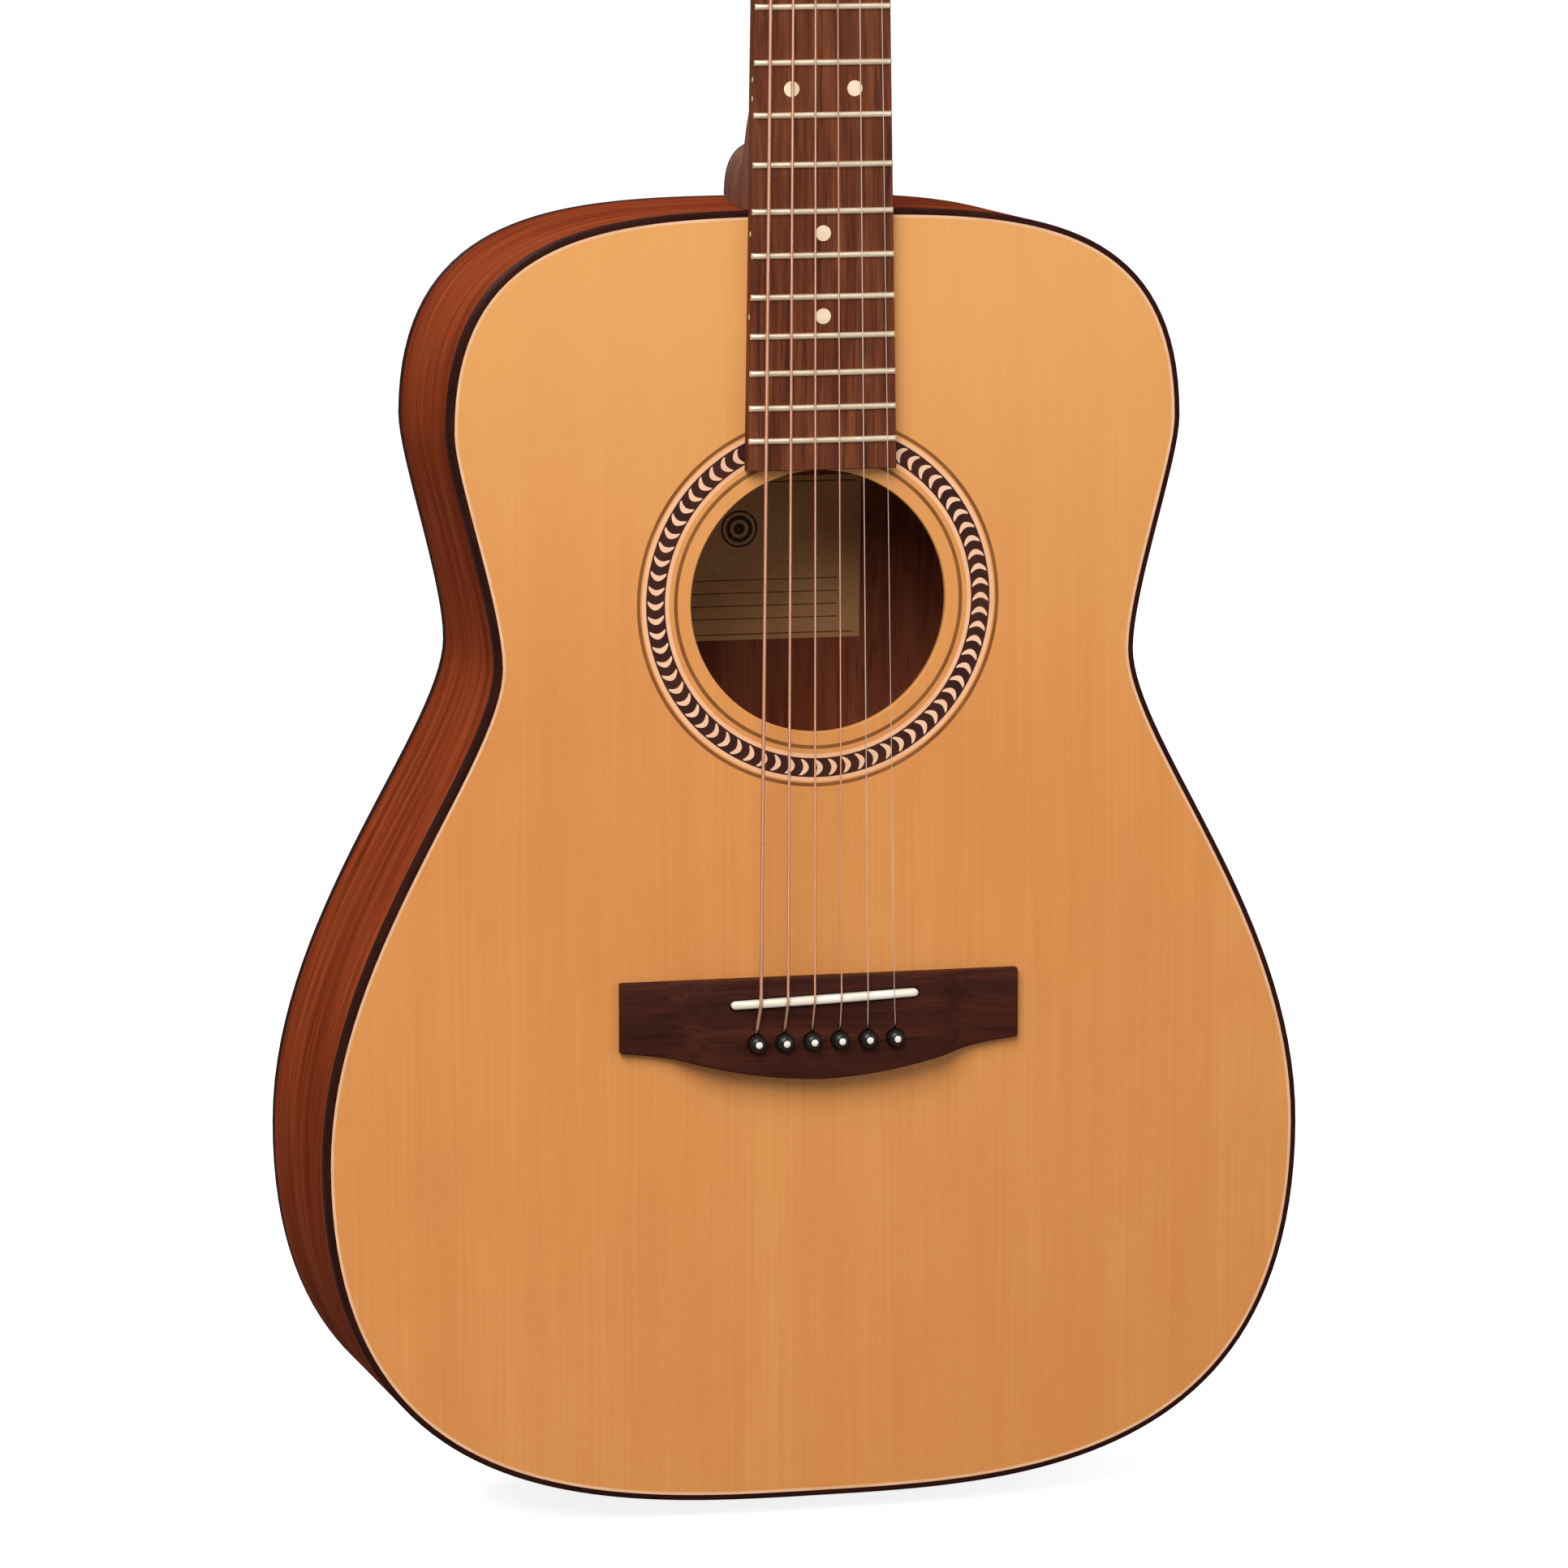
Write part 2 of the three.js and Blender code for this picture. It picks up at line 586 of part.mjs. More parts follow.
// Where each string's centre runs over the nut and the saddle.
const stringRadius = (string) => STRING_DIAMETERS[string - 1] / 2;
const nutX = (string) => ((3.5 - string) / 2.5) * STRINGS.nutHalfSpan;
const nutY = (string) => boardTop(nutX(string)) - FRET.height - STRINGS.clearance - stringRadius(string);
const saddleX = (string) => STRINGS.saddleCentre + ((3.5 - string) / 2.5) * STRINGS.saddleHalfSpan;

// ---- Neck: shaft, heel, tenon and headstock in one piece of wood --------------------------------------

// Half of a rounded section below the y = 0 face; power 2 is an ellipse and higher powers are squarer.
function neckSection(half, depth, power, place) {
  const steps = 9;
  return Array.from({ length: steps + 1 }, (_, i) => {
    const angle = (Math.PI * i) / steps;
    const x = Math.sign(Math.cos(angle)) * half * Math.abs(Math.cos(angle)) ** (2 / power);
    return place(x, depth * Math.sin(angle) ** (2 / power));
  });
}

const headHalf = (v) => {
  const flare = THREE.MathUtils.smoothstep(v, 2, 26);
  return lerp(HEAD.base, HEAD.shoulder, flare) + ((HEAD.tip - HEAD.shoulder) * v) / HEAD.length;
};
const bodyFace = SHOULDER_Z + BINDING.width + GLUE;

function neckShaft() {
  const along = [bodyFace, 380, 480, 580, SCALE_LENGTH - 6];
  const shaft = along.map((z) => {
    const depth = lerp(NECK_DEPTH.body, NECK_DEPTH.nut, (z - bodyFace) / (SCALE_LENGTH - bodyFace));
    return neckSection(boardHalf(z), depth, 2.1, (x, y) => v3(x, y, z));
  });
  const intoHead = [2, 8, 15, 24].map((v) => {
    const power = lerp(2.2, 9, v / 24);
    const depth = lerp(HEAD.thickness - 2.5, HEAD.thickness, v / 24);
    return neckSection(headHalf(v), depth, power, (x, y) => v3(x, y, v).applyMatrix4(headstock.matrix));
  });
  return loft([...shaft, ...intoHead]);
}

// The heel: a rounded tongue at every depth, long where it meets the shaft and short at the cap.
function neckHeel() {
  const capY = backY(0, bodyFace);
  const depths = [0, 10, 15, 20, 27, 36, 50, 68, capY];
  return loft(
    depths.map((y) => {
      const t = y / capY;
      const half = lerp(HEEL.topWidth, HEEL.capWidth, t ** 1.5) / 2;
      const reach = HEEL.capLength + 4 * (1 - t) + HEEL.sweep * Math.exp(-Math.max(y - 12, 0) / HEEL.sweepDecay);
      return neckSection(half, reach, HEEL.power, (x, z) => v3(x, y, bodyFace + z));
    }),
  );
}

function headstockPlan() {
  const { length } = HEAD;
  const side = [20, 26, 60, 110, length - 10].map((v) => v2(headHalf(v), v));
  const crest = [v2(HEAD.tip - 4, length - 3), v2(HEAD.tip - 14, length), v2(0, length - 4)];
  const right = [...side, ...crest];
  const left = right.slice(0, -1).reverse().map((p) => v2(-p.x, p.y));
  return new THREE.Shape([...right, ...left]);
}

const postHoles = POSTS.flatMap(({ x, v }) =>
  [-1, 1].map((sign) => rod(POST.radius + 0.4, -5, HEAD.thickness + 5, 10).rotateX(-Math.PI / 2).translate(sign * x, 0, v)),
);
const inHead = (geometry) => geometry.clone().applyMatrix4(headstock.matrix);
const tenon = block(
  [-TENON.halfWidth, TENON.front, SHOULDER_Z - TENON.length],
  [TENON.halfWidth, TENON.back, bodyFace + 5],
);

// The truss rod lies in a channel under the fretboard and ends in a pocket behind the nut.
const ROD = { y: 5, radius: 2.8, start: 306, end: 659, nutStart: 660, nutEnd: 670 };
const rodChannel = block([-3.3, -2, ROD.start - 4], [3.3, ROD.y + 3.2, ROD.nutStart]);
const rodPocket = block([-4.8, -6, SCALE_LENGTH + 8], [4.8, ROD.y + 4.8, ROD.nutEnd + 6]);
const neckBlank = join(neckShaft(), neckHeel(), inHead(plate(headstockPlan(), 0, HEAD.thickness)), tenon);
add("neck", cut(neckBlank, rodChannel, rodPocket, ...postHoles.map(inHead)), "mahogany");
add("truss_rod", rod(ROD.radius, ROD.start, ROD.end, 8).translate(0, ROD.y, 0), "steel");

const socket = rod(1.6, 4, 12, 6).translate(0, ROD.y, ROD.nutStart);
const rodNut = turned([[0, 0], [4, 0], [4, 9], [3.4, 10], [0, 10]], 6).translate(0, ROD.y, ROD.nutStart);
add("truss_rod_nut", cut(rodNut, socket), "steel");

const veneerShape = headstockPlan();
const veneerTail = plate(new THREE.Shape([v2(-21, 2.5), v2(21, 2.5), v2(headHalf(20), 20), v2(-headHalf(20), 20)]), -FIT - HEAD.veneer, -FIT);
const veneerBlank = join(plate(veneerShape, -FIT - HEAD.veneer, -FIT), veneerTail);
const nutWindow = block([-5.2, -6, 5], [5.2, 2, 26]);
add("headstock_veneer", cut(veneerBlank, nutWindow, ...postHoles), "rosewood", headstock);

// ---- Tuning machines ----------------------------------------------------------------------------------

const tunerPlace = (string) => {
  const sign = string <= 3 ? 1 : -1;
  const spot = POSTS[string <= 3 ? string - 1 : 6 - string];
  return { sign, x: sign * spot.x, v: spot.v };
};

// Turned about the headstock's normal, from the tip in front to the end inside the gearbox.
const upright = (profile, sides) => turned(profile, sides).rotateX(-Math.PI / 2);

function tunerPost() {
  const { radius, wheel, tip } = POST;
  const mid = GEARBOX.wormDepth;
  return upright(
    [
      [0, -tip],
      [radius - 0.5, -tip],
      [radius, -tip + 0.8],
      [radius, -tip + 2.4],
      [radius - 0.5, -tip + 4],
      [radius - 0.5, -tip + 7],
      [radius, -3.2],
      [radius, mid - 2.4],
      [wheel, mid - 2.2],
      [wheel, mid + 2.2],
      [radius, mid + 2.4],
      [radius, mid + 3.6],
      [0, mid + 3.6],
    ],
    10,
  );
}

// Worm, shaft and button, turned about X and drawn for the treble side.
function tunerKnob() {
  const outside = KNOB.gap;
  const shaft = turned([[0, -4.6], [2.6, -4.6], [2.6, 4.6], [1.9, 4.8], [1.9, outside + 2], [0, outside + 2]], 8);
  const sections = [0, 0.12, 0.5, 0.88, 1].map((s) => {
    const swell = Math.sqrt(1 - (1.7 * (s - 0.5)) ** 2 / 1.6);
    return Array.from({ length: 12 }, (_, i) => {
      const angle = (2 * Math.PI * i) / 12;
      const grow = s < 0.05 ? 0.62 : swell;
      return v3(
        KNOB.halfWidth * grow * Math.cos(angle),
        KNOB.halfThickness * grow * Math.sin(angle),
        outside + s * KNOB.length,
      );
    });
  });
  return join(shaft, loft(sections)).rotateY(Math.PI / 2).rotateX(Math.PI / 2);
}

// The gearbox screwed to the back of the headstock, hollow, with a bore for the post and one for the shaft.
function tunerHousing(sign) {
  const { front, back, wall, half, wormSide, wormOffset, wormDepth } = GEARBOX;
  const shell = block([-half, front, -half], [half, back, wormSide]);
  const inside = block([-half + wall, front + 1.9, -half + wall], [half - wall, back - wall, wormSide - wall]);
  const postBore = rod(POST.radius + 0.4, front - 2, front + 4, 10).rotateX(-Math.PI / 2);
  const shaftBore = rod(2.3, 4, 12, 8).rotateY((sign * Math.PI) / 2).translate(0, wormDepth, wormOffset);
  return cut(shell, inside, postBore, shaftBore);
}

for (const string of strings) {
  const { sign, x, v } = tunerPlace(string);
  add(`tuner_housing_${string}`, tunerHousing(sign).translate(x, 0, v), "chrome", headstock);
  add(`tuner_post_${string}`, tunerPost().translate(x, 0, v), "chrome", headstock);
  const knob = tunerKnob();
  if (sign < 0) knob.rotateZ(Math.PI);
  add(`tuner_knob_${string}`, knob.translate(x, GEARBOX.wormDepth, v + GEARBOX.wormOffset), "chrome", headstock);
}

// ---- Strings ------------------------------------------------------------------------------------------

// A string's centre line: up its slot in the bridge, over saddle and nut, and on to the side of its post.
function stringRoute(string) {
  const r = stringRadius(string);
  const { sign, x, v } = tunerPlace(string);
  const slotZ = PINS.z + STRING_SLOT;
  const atSaddle = saddleX(string);
  const beside = x - sign * (POST.radius + r + 0.3);
  const inHeadstock = (px, py, pv) => v3(px, py, pv).applyMatrix4(headstock.matrix);
  return [
    v3(pinX(string), 9, slotZ),
    v3(pinX(string), -BRIDGE.height + 0.2, slotZ),
    v3(pinX(string), -BRIDGE.height - r - 0.2, slotZ + 0.6),
    v3(atSaddle, saddleTop(atSaddle) - r - 0.15, saddleZ(atSaddle) - SADDLE.thickness / 2),
    v3(atSaddle, saddleTop(atSaddle) - r - 0.2, saddleZ(atSaddle) + SADDLE.thickness / 2),
    v3(nutX(string), nutY(string), SCALE_LENGTH),
    inHeadstock(beside, -6.5, v - 2),
    inHeadstock(beside, -6.5, v + 1.5),
  ];
}

function nutBlank() {
  const half = NUT_WIDTH / 2;
  return loft(
    ACROSS.map((s) => {
      const x = s * half;
      const top = boardTop(x) - NUT.rise;
      return [
        v3(x, -GLUE, SCALE_LENGTH + GLUE),
        v3(x, top, SCALE_LENGTH + GLUE),
        v3(x, top + 1.4, SCALE_LENGTH + NUT.thickness),
        v3(x, -GLUE, SCALE_LENGTH + NUT.thickness),
      ];
    }),
  );
}

// The open slot that leads a string over the nut, down and sideways towards its post.
function nutSlot(string) {
  const half = stringRadius(string) + 0.2;
  const [, , , , , overNut, atPost] = stringRoute(string);
  const along = atPost.clone().sub(overNut).normalize();
  return loft(
    [-1.5, 9].map((distance) => {
      const { x, y, z } = overNut.clone().addScaledVector(along, distance);
      return [v3(x - half, y + half, z), v3(x + half, y + half, z), v3(x + half, y - 6, z), v3(x - half, y - 6, z)];
    }),
  );
}
add("nut", cut(nutBlank(), ...strings.map(nutSlot)), "bone");

// A round wire of eight sides along straight runs.
function wire(route, radius) {
  const sections = route.map((point, i) => {
    const before = route[Math.max(i - 1, 0)];
    const after = route[Math.min(i + 1, route.length - 1)];
    const inDirection = point.clone().sub(i === 0 ? point : before).normalize();
    const outDirection = after.clone().sub(point).normalize();
    const along = inDirection.add(outDirection).normalize();
    const across = v3(1, 0, 0).addScaledVector(along, -along.x).normalize();
    const up = along.clone().cross(across);
    return Array.from({ length: 8 }, (_, k) => {
      const angle = (Math.PI / 4) * (k + 0.5);
      return point
        .clone()
        .addScaledVector(across, radius * Math.cos(angle))
        .addScaledVector(up, radius * Math.sin(angle));
    });
  });
  return loft(sections);
}
for (const string of strings) {
  const route = stringRoute(string);
  add(`string_${string}`, wire(route, stringRadius(string)), string <= 2 ? "steel" : "bronze");
}

export default part;
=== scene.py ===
"""Looks of a steel-string acoustic guitar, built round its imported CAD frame.

Lengths are millimetres about the saddle line on the top's surface (x to the treble side, y into the
body, z up the neck); place() turns them into the frame's metres. Headstock pieces are drawn in the
headstock's own axes: its front face is y = 0 and its length runs up z from the nut.
"""

from math import copysign, cos, exp, hypot, pi, radians, sin, sqrt, tan

import bmesh
import bpy
import numpy as np
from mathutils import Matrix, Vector
from mathutils.geometry import tessellate_polygon


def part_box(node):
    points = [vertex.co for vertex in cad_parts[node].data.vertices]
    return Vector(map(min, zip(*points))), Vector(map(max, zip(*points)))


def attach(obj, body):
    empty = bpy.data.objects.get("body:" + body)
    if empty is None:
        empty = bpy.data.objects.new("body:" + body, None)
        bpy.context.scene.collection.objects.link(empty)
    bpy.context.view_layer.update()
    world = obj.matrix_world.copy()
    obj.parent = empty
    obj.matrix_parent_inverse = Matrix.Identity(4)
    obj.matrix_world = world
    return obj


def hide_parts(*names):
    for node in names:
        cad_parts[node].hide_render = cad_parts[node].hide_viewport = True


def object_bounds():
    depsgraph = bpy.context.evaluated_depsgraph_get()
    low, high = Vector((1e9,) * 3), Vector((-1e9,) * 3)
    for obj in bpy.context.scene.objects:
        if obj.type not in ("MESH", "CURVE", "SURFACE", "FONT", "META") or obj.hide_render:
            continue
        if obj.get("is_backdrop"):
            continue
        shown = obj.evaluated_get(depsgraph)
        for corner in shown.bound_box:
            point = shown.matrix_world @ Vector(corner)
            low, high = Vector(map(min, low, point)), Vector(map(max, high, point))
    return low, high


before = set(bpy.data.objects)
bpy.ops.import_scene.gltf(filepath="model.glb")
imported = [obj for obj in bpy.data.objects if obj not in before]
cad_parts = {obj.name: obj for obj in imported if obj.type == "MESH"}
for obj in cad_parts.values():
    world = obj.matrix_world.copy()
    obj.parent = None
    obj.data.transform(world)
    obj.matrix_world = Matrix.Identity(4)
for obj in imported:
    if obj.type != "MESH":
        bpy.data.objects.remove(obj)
CAD_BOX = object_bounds()

# ---- Driving dimensions, the same as the CAD part's ----

SCALE_LENGTH = 648.0
FRETS = 20
GLUE = 0.15
TAIL_Z = -194.1
LOWER_BOUT = (186.2, -62.0)
WAIST = (120.2, 122.2)
UPPER_BOUT = (137.9, 209.1)
SHOULDER_Z = 286.6
TAIL_HANDLE = 75.3  # how far the lower bout's curve runs straight at the tail
TOP_THICKNESS = 2.8
BACK_THICKNESS = 2.6
SIDE_THICKNESS = 2.2
BODY_DEPTH = 102.5
DEPTH_TAPER = 0.05
BACK_RADIUS = 6000.0
BINDING_WIDTH = 2.2
BINDING_HEIGHT = 6.0
PURFLING = 1.05  # light line between the binding and the top
LINING_WIDTH = 6.2
LINING_HEIGHT = 14.5
HOLE_Z = 143.5
HOLE_RADIUS = 48.9
HOLE_SIDES = 128
HOLE_LIP = ((0.4, 0.0), (0.1, 0.12), (0.0, 0.4), (0.0, 2.4), (0.1, 2.7), (0.4, 2.8))
RING_SIDES = 160
BROWN_LINES = ((54.0, 55.4), (68.2, 69.5))
CREAM_LINES = ((57.2, 58.8), (66.0, 67.6))
CRESCENT_BAND = (58.8, 66.0)
CRESCENTS = 72
NUT_WIDTH = 43.0
NUT_THICKNESS = 5.4
BOARD_END_Z = 193.0
BOARD_END_WIDTH = 56.9
BOARD_THICKNESS = 6.2
BOARD_RADIUS = 406.0
FRET_HEIGHT = 1.1
FRET_WIDTH = 2.2
HEAD_TILT = radians(14)
HEAD_START = SCALE_LENGTH + NUT_THICKNESS + 0.9
POSTS = ((23.0, 38.0), (23.5, 81.0), (24.0, 124.0))
STRINGS_X = 0.5  # the strings' middle at the bridge, a little to the treble side
PIN_PITCH = 10.7
PIN_Z = -20.6
STRING_DIAMETERS = (0.3, 0.41, 0.61, 0.81, 1.07, 1.35)
STRING_NUMBERS = range(1, 7)
WOUND_STRINGS = (3, 4, 5, 6)
MIDDLE_STRING = 3.5
HAIR = 0.02  # the hairline by which a piece stands off a face that it would else share
END_PIN_LENGTH = 8.0

# The saddle line's place in the frame: the top's surface, and the tail end of the binding.
TOP_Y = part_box("soundboard")[0].y * 1000
SADDLE_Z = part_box("top_binding")[0].z * 1000 - (TAIL_Z - BINDING_WIDTH)


def place(x, y, z):
    """A point of the frame, in metres, from millimetres about the saddle line."""
    return Vector((x, y + TOP_Y, z + SADDLE_Z)) / 1000


def in_head(x, y, v):
    """A point of the headstock's axes in the body's millimetres."""
    c, s = cos(HEAD_TILT), sin(HEAD_TILT)
    return (x, y * c + v * s, v * c - y * s + HEAD_START)


def lerp(a, b, t):
    return a + (b - a) * t


def smoothstep(t):
    t = min(max(t, 0.0), 1.0)
    return t * t * (3 - 2 * t)


# ---- Mesh helpers ----


def new_object(name, verts, faces, to):
    """An object from millimetre points, with its faces turned outwards."""
    mesh = bpy.data.meshes.new(name)
    mesh.from_pydata([to(*v) for v in verts], [], faces)
    bm = bmesh.new()
    bm.from_mesh(mesh)
    bmesh.ops.recalc_face_normals(bm, faces=bm.faces)
    bm.to_mesh(mesh)
    bm.free()
    obj = bpy.data.objects.new(name, mesh)
    bpy.context.scene.collection.objects.link(obj)
    return obj


def piece(name, shape, material, body="guitar", nodes=(), smooth=40, to=place, grain=None):
    """A piece of the guitar from (vertices, faces), shaded smooth below the given crease angle."""
    obj = new_object(name, *shape, to)
    mesh = obj.data
    mesh.materials.append(material)
    if grain is not None:
        attribute = mesh.attributes.new("grain", "FLOAT_VECTOR", "POINT")
        attribute.data.foreach_set("vector", np.asarray(grain, np.float32).ravel() / 1000)
    mesh.polygons.foreach_set("use_smooth", [True] * len(mesh.polygons))
    mesh.set_sharp_from_angle(angle=radians(smooth))
    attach(obj, body)
    if nodes:
        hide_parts(*nodes)
    return obj


def loft(sections, ring=False, caps=True):
    """Vertices and faces through equal rows of points, where each row is a closed outline."""
    count = len(sections[0])
    verts = [p for row in sections for p in row]
    faces = []
    rows = len(sections) if ring else len(sections) - 1
    for i in range(rows):
        a, b = i * count, ((i + 1) % len(sections)) * count
        for j in range(count):
            k = (j + 1) % count
            faces.append((a + j, a + k, b + k, b + j))
    if caps and not ring:
        faces.append(tuple(range(count))[::-1])
        faces.append(tuple(range((len(sections) - 1) * count, len(sections) * count)))
    return verts, faces


def plate(loops, y0, y1):
    """A flat plate between two depths. The first loop is its outline and the rest are holes, as (x, z)."""
    flat = [p for loop in loops for p in loop]
    triangles = tessellate_polygon([[Vector((x, z, 0)) for x, z in loop] for loop in loops])
    n = len(flat)
    verts = [(x, y0, z) for x, z in flat] + [(x, y1, z) for x, z in flat]
    faces = [tuple(t) for t in triangles] + [tuple(i + n for i in reversed(t)) for t in triangles]
    start = 0
    for loop in loops:
        for i in range(len(loop)):
            a, b = start + i, start + (i + 1) % len(loop)
            faces.append((a, b, b + n, a + n))
        start += len(loop)
    return verts, faces


def merge(*parts):
    """One shape from several."""
    verts, faces = [], []
    for v, f in parts:
        base = len(verts)
        verts += list(v)
        faces += [tuple(i + base for i in face) for face in f]
    return verts, faces


def circle(radius, cx=0.0, cz=0.0, count=96):
    return [
        (cx + radius * cos(2 * pi * i / count), cz + radius * sin(2 * pi * i / count))
        for i in range(count)
    ]


def axis_y(x, z, sign=1, y=0.0):
    """For lathe(): an axis through (x, z) that leaves the depth y along +y or -y."""
    return lambda a, b, h: (x + a, y + sign * h, z + b)


def lathe(profile, at, sides=24, ring=False):
    """A turned shape from (radius, height) pairs; at(a, b, h) gives a point, with h along the axis."""
    turns = circle(1.0, count=sides)
    rows = [[at(a * max(r, 0.001), b * max(r, 0.001), h) for a, b in turns] for r, h in profile]
    return loft(rows, ring=ring)


def tube(points, radius, sides=10):
    """A round wire along a list of points, with frames carried smoothly from one to the next."""
    path = [Vector(p) for p in points]
    turns = circle(radius, count=sides)
    rows = []
    normal = (path[1] - path[0]).orthogonal()
    for i, p in enumerate(path):
        tangent = (path[min(i + 1, len(path) - 1)] - path[max(i - 1, 0)]).normalized()
        normal = (normal - tangent * normal.dot(tangent)).normalized()
        other = tangent.cross(normal)
        rows.append([tuple(p + normal * a + other * b) for a, b in turns])
    return loft(rows)


def boolean(obj, operation, tools, crease=None):
    """Cuts the tools out of a piece or joins them to it; crease is the angle of its new sharp edges."""
    for tool in tools:
        modifier = obj.modifiers.new("cut", "BOOLEAN")
        modifier.operation = operation
        modifier.solver = "EXACT"
        modifier.object = tool
    graph = bpy.context.evaluated_depsgraph_get()
    graph.update()
    mesh = bpy.data.meshes.new_from_object(obj.evaluated_get(graph))
    obj.modifiers.clear()
    obj.data = mesh
    if crease:
        mesh.set_sharp_from_angle(angle=radians(crease))
    for tool in tools:
        bpy.data.objects.remove(tool)


def scratch(shape, to=place):
    """A temporary solid for boolean()."""
    return new_object("scratch", *shape, to)


# ---- Materials ----


def srgb(r, g, b):
    """Linear colour from 8-bit sRGB values."""
    def linear(c):
        c /= 255
        return c / 12.92 if c <= 0.04045 else ((c + 0.055) / 1.055) ** 2.4

    return (linear(r), linear(g), linear(b), 1.0)


class Shader:
    """A Principled material, built from small procedural node helpers."""

    def __init__(self, name, **sockets):
        self.material = bpy.data.materials.new(name)
        self.material.use_nodes = True
        self.tree = self.material.node_tree
        self.bsdf = self.tree.nodes["Principled BSDF"]
        self.coordinates = self.node("ShaderNodeTexCoord").outputs["Object"]
        for key, value in sockets.items():
            self.bsdf.inputs[key.replace("_", " ")].default_value = value

    def node(self, kind, inputs=(), **settings):
        n = self.tree.nodes.new(kind)
        for key, value in settings.items():
            setattr(n, key, value)
        for key, value in dict(inputs).items():
            self.put(n.inputs[key], value)
        return n

    def put(self, socket, value):
        if isinstance(value, bpy.types.NodeSocket):
            self.tree.links.new(value, socket)
        else:
            socket.default_value = value

    def link(self, name, value):
        self.put(self.bsdf.inputs[name], value)

    def math(self, operation, a, b=0.0):
        return self.node("ShaderNodeMath", {0: a, 1: b}, operation=operation).outputs[0]

    def times(self, a, b):
        return self.math("MULTIPLY", a, b)

    def plus(self, a, b):
        return self.math("ADD", a, b)

    def split(self, vector):
        return self.node("ShaderNodeSeparateXYZ", {0: vector}).outputs

    def join(self, x, y, z):
        return self.node("ShaderNodeCombineXYZ", {0: x, 1: y, 2: z}).outputs[0]

    def stretch(self, vector, scale):
        return self.node("ShaderNodeMapping", {"Vector": vector, "Scale": scale}).outputs[0]

    def noise(self, vector, scale, detail, roughness=0.5, distortion=0.0):
        inputs = {"Vector": vector, "Scale": scale, "Detail": detail, "Roughness": roughness}
        return self.node("ShaderNodeTexNoise", {**inputs, "Distortion": distortion}).outputs["Fac"]

    def ramp(self, factor, *stops):
        n = self.node("ShaderNodeValToRGB", {0: factor})
        elements = n.color_ramp.elements
        while len(elements) < len(stops):
            elements.new(0.5)
        for element, (position, colour) in zip(elements, stops):
            element.position = position
            element.color = colour if isinstance(colour, tuple) else (colour, colour, colour, 1.0)
        return n.outputs["Color"]

    def mix(self, factor, a, b):
        n = self.node("ShaderNodeMix", data_type="RGBA")
        self.put(n.inputs[0], factor)
        self.put(n.inputs[6], a)
        self.put(n.inputs[7], b)
        return n.outputs[2]

    def tint(self, colour, other, factor, start, end, amount):
        """Blends in another colour, by up to the given amount, as the factor goes from start to end."""
        return self.mix(self.ramp(factor, (start, 0.0), (end, amount)), colour, other)

    def attribute(self, name):
        return self.node("ShaderNodeAttribute", attribute_name=name).outputs["Vector"]

    def bump(self, height, distance, strength):
        n = self.node("ShaderNodeBump", {"Height": height, "Distance": distance, "Strength": strength})
        self.link("Normal", n.outputs[0])


def spruce_top():
    """Bookmatched amber spruce: growth lines that mirror about the centre joint, with a painted sheen that
    makes it paler near the neck.
    """
    m = Shader("spruce_top", Specular_IOR_Level=0.35, Coat_Weight=0.08, Coat_Roughness=0.2)
    x, _, z = m.split(m.coordinates)
    half = m.math("ABSOLUTE", x)
    sway = m.noise(m.join(half, 0.0, m.times(z, 0.35)), 9.0, 2.0)
    across = m.plus(half, m.times(sway, 0.006))
    lines = m.noise(m.join(across, 0.0, m.times(z, 0.012)), 620.0, 2.0, 0.6)
    bands = m.noise(m.join(across, 0.0, m.times(z, 0.03)), 70.0, 3.0, 0.55)
    cloud = m.noise(m.stretch(m.coordinates, (1.0, 1.0, 0.6)), 14.0, 4.0, 0.6)
    fleck = m.noise(m.join(m.times(x, 260.0), 0.0, m.times(z, 900.0)), 1.0, 2.0)
    colour = m.ramp(lines, (0.3, srgb(210, 135, 68)), (0.5, srgb(216, 143, 75)), (0.72, srgb(222, 151, 83)))
    tint = m.ramp(bands, (0.3, srgb(210, 135, 68)), (0.7, srgb(222, 150, 82)))
    colour = m.mix(0.45, colour, tint)
    colour = m.tint(colour, srgb(208, 128, 64), cloud, 0.4, 0.7, 0.5)
    colour = m.tint(colour, srgb(238, 172, 112), fleck, 0.58, 0.75, 0.16)
    # Painted sheen: the top's colour turns paler and yellower with height towards the neck, standing in for
    # a broad soft reflection there.
    colour = m.tint(colour, srgb(230, 168, 98), z, 0.3, 0.46, 0.6)
    m.link("Base Color", colour)
    m.link("Roughness", m.ramp(lines, (0.3, 0.5), (0.7, 0.4)))
    m.bump(lines, 0.00004, 0.5)
    return m.material


def raw_spruce():
    """Unfinished spruce for the braces."""
    m = Shader("raw_spruce", Roughness=0.75)
    streak = m.noise(m.coordinates, 60.0, 4.0, 0.6)
    fine = m.noise(m.stretch(m.coordinates, (1.0, 8.0, 1.0)), 240.0, 2.0)
    colour = m.ramp(streak, (0.3, srgb(186, 142, 92)), (0.7, srgb(222, 186, 138)))
    m.link("Base Color", m.tint(colour, srgb(168, 122, 76), fine, 0.4, 0.7, 0.3))
    m.bump(fine, 0.0001, 0.4)
    return m.material


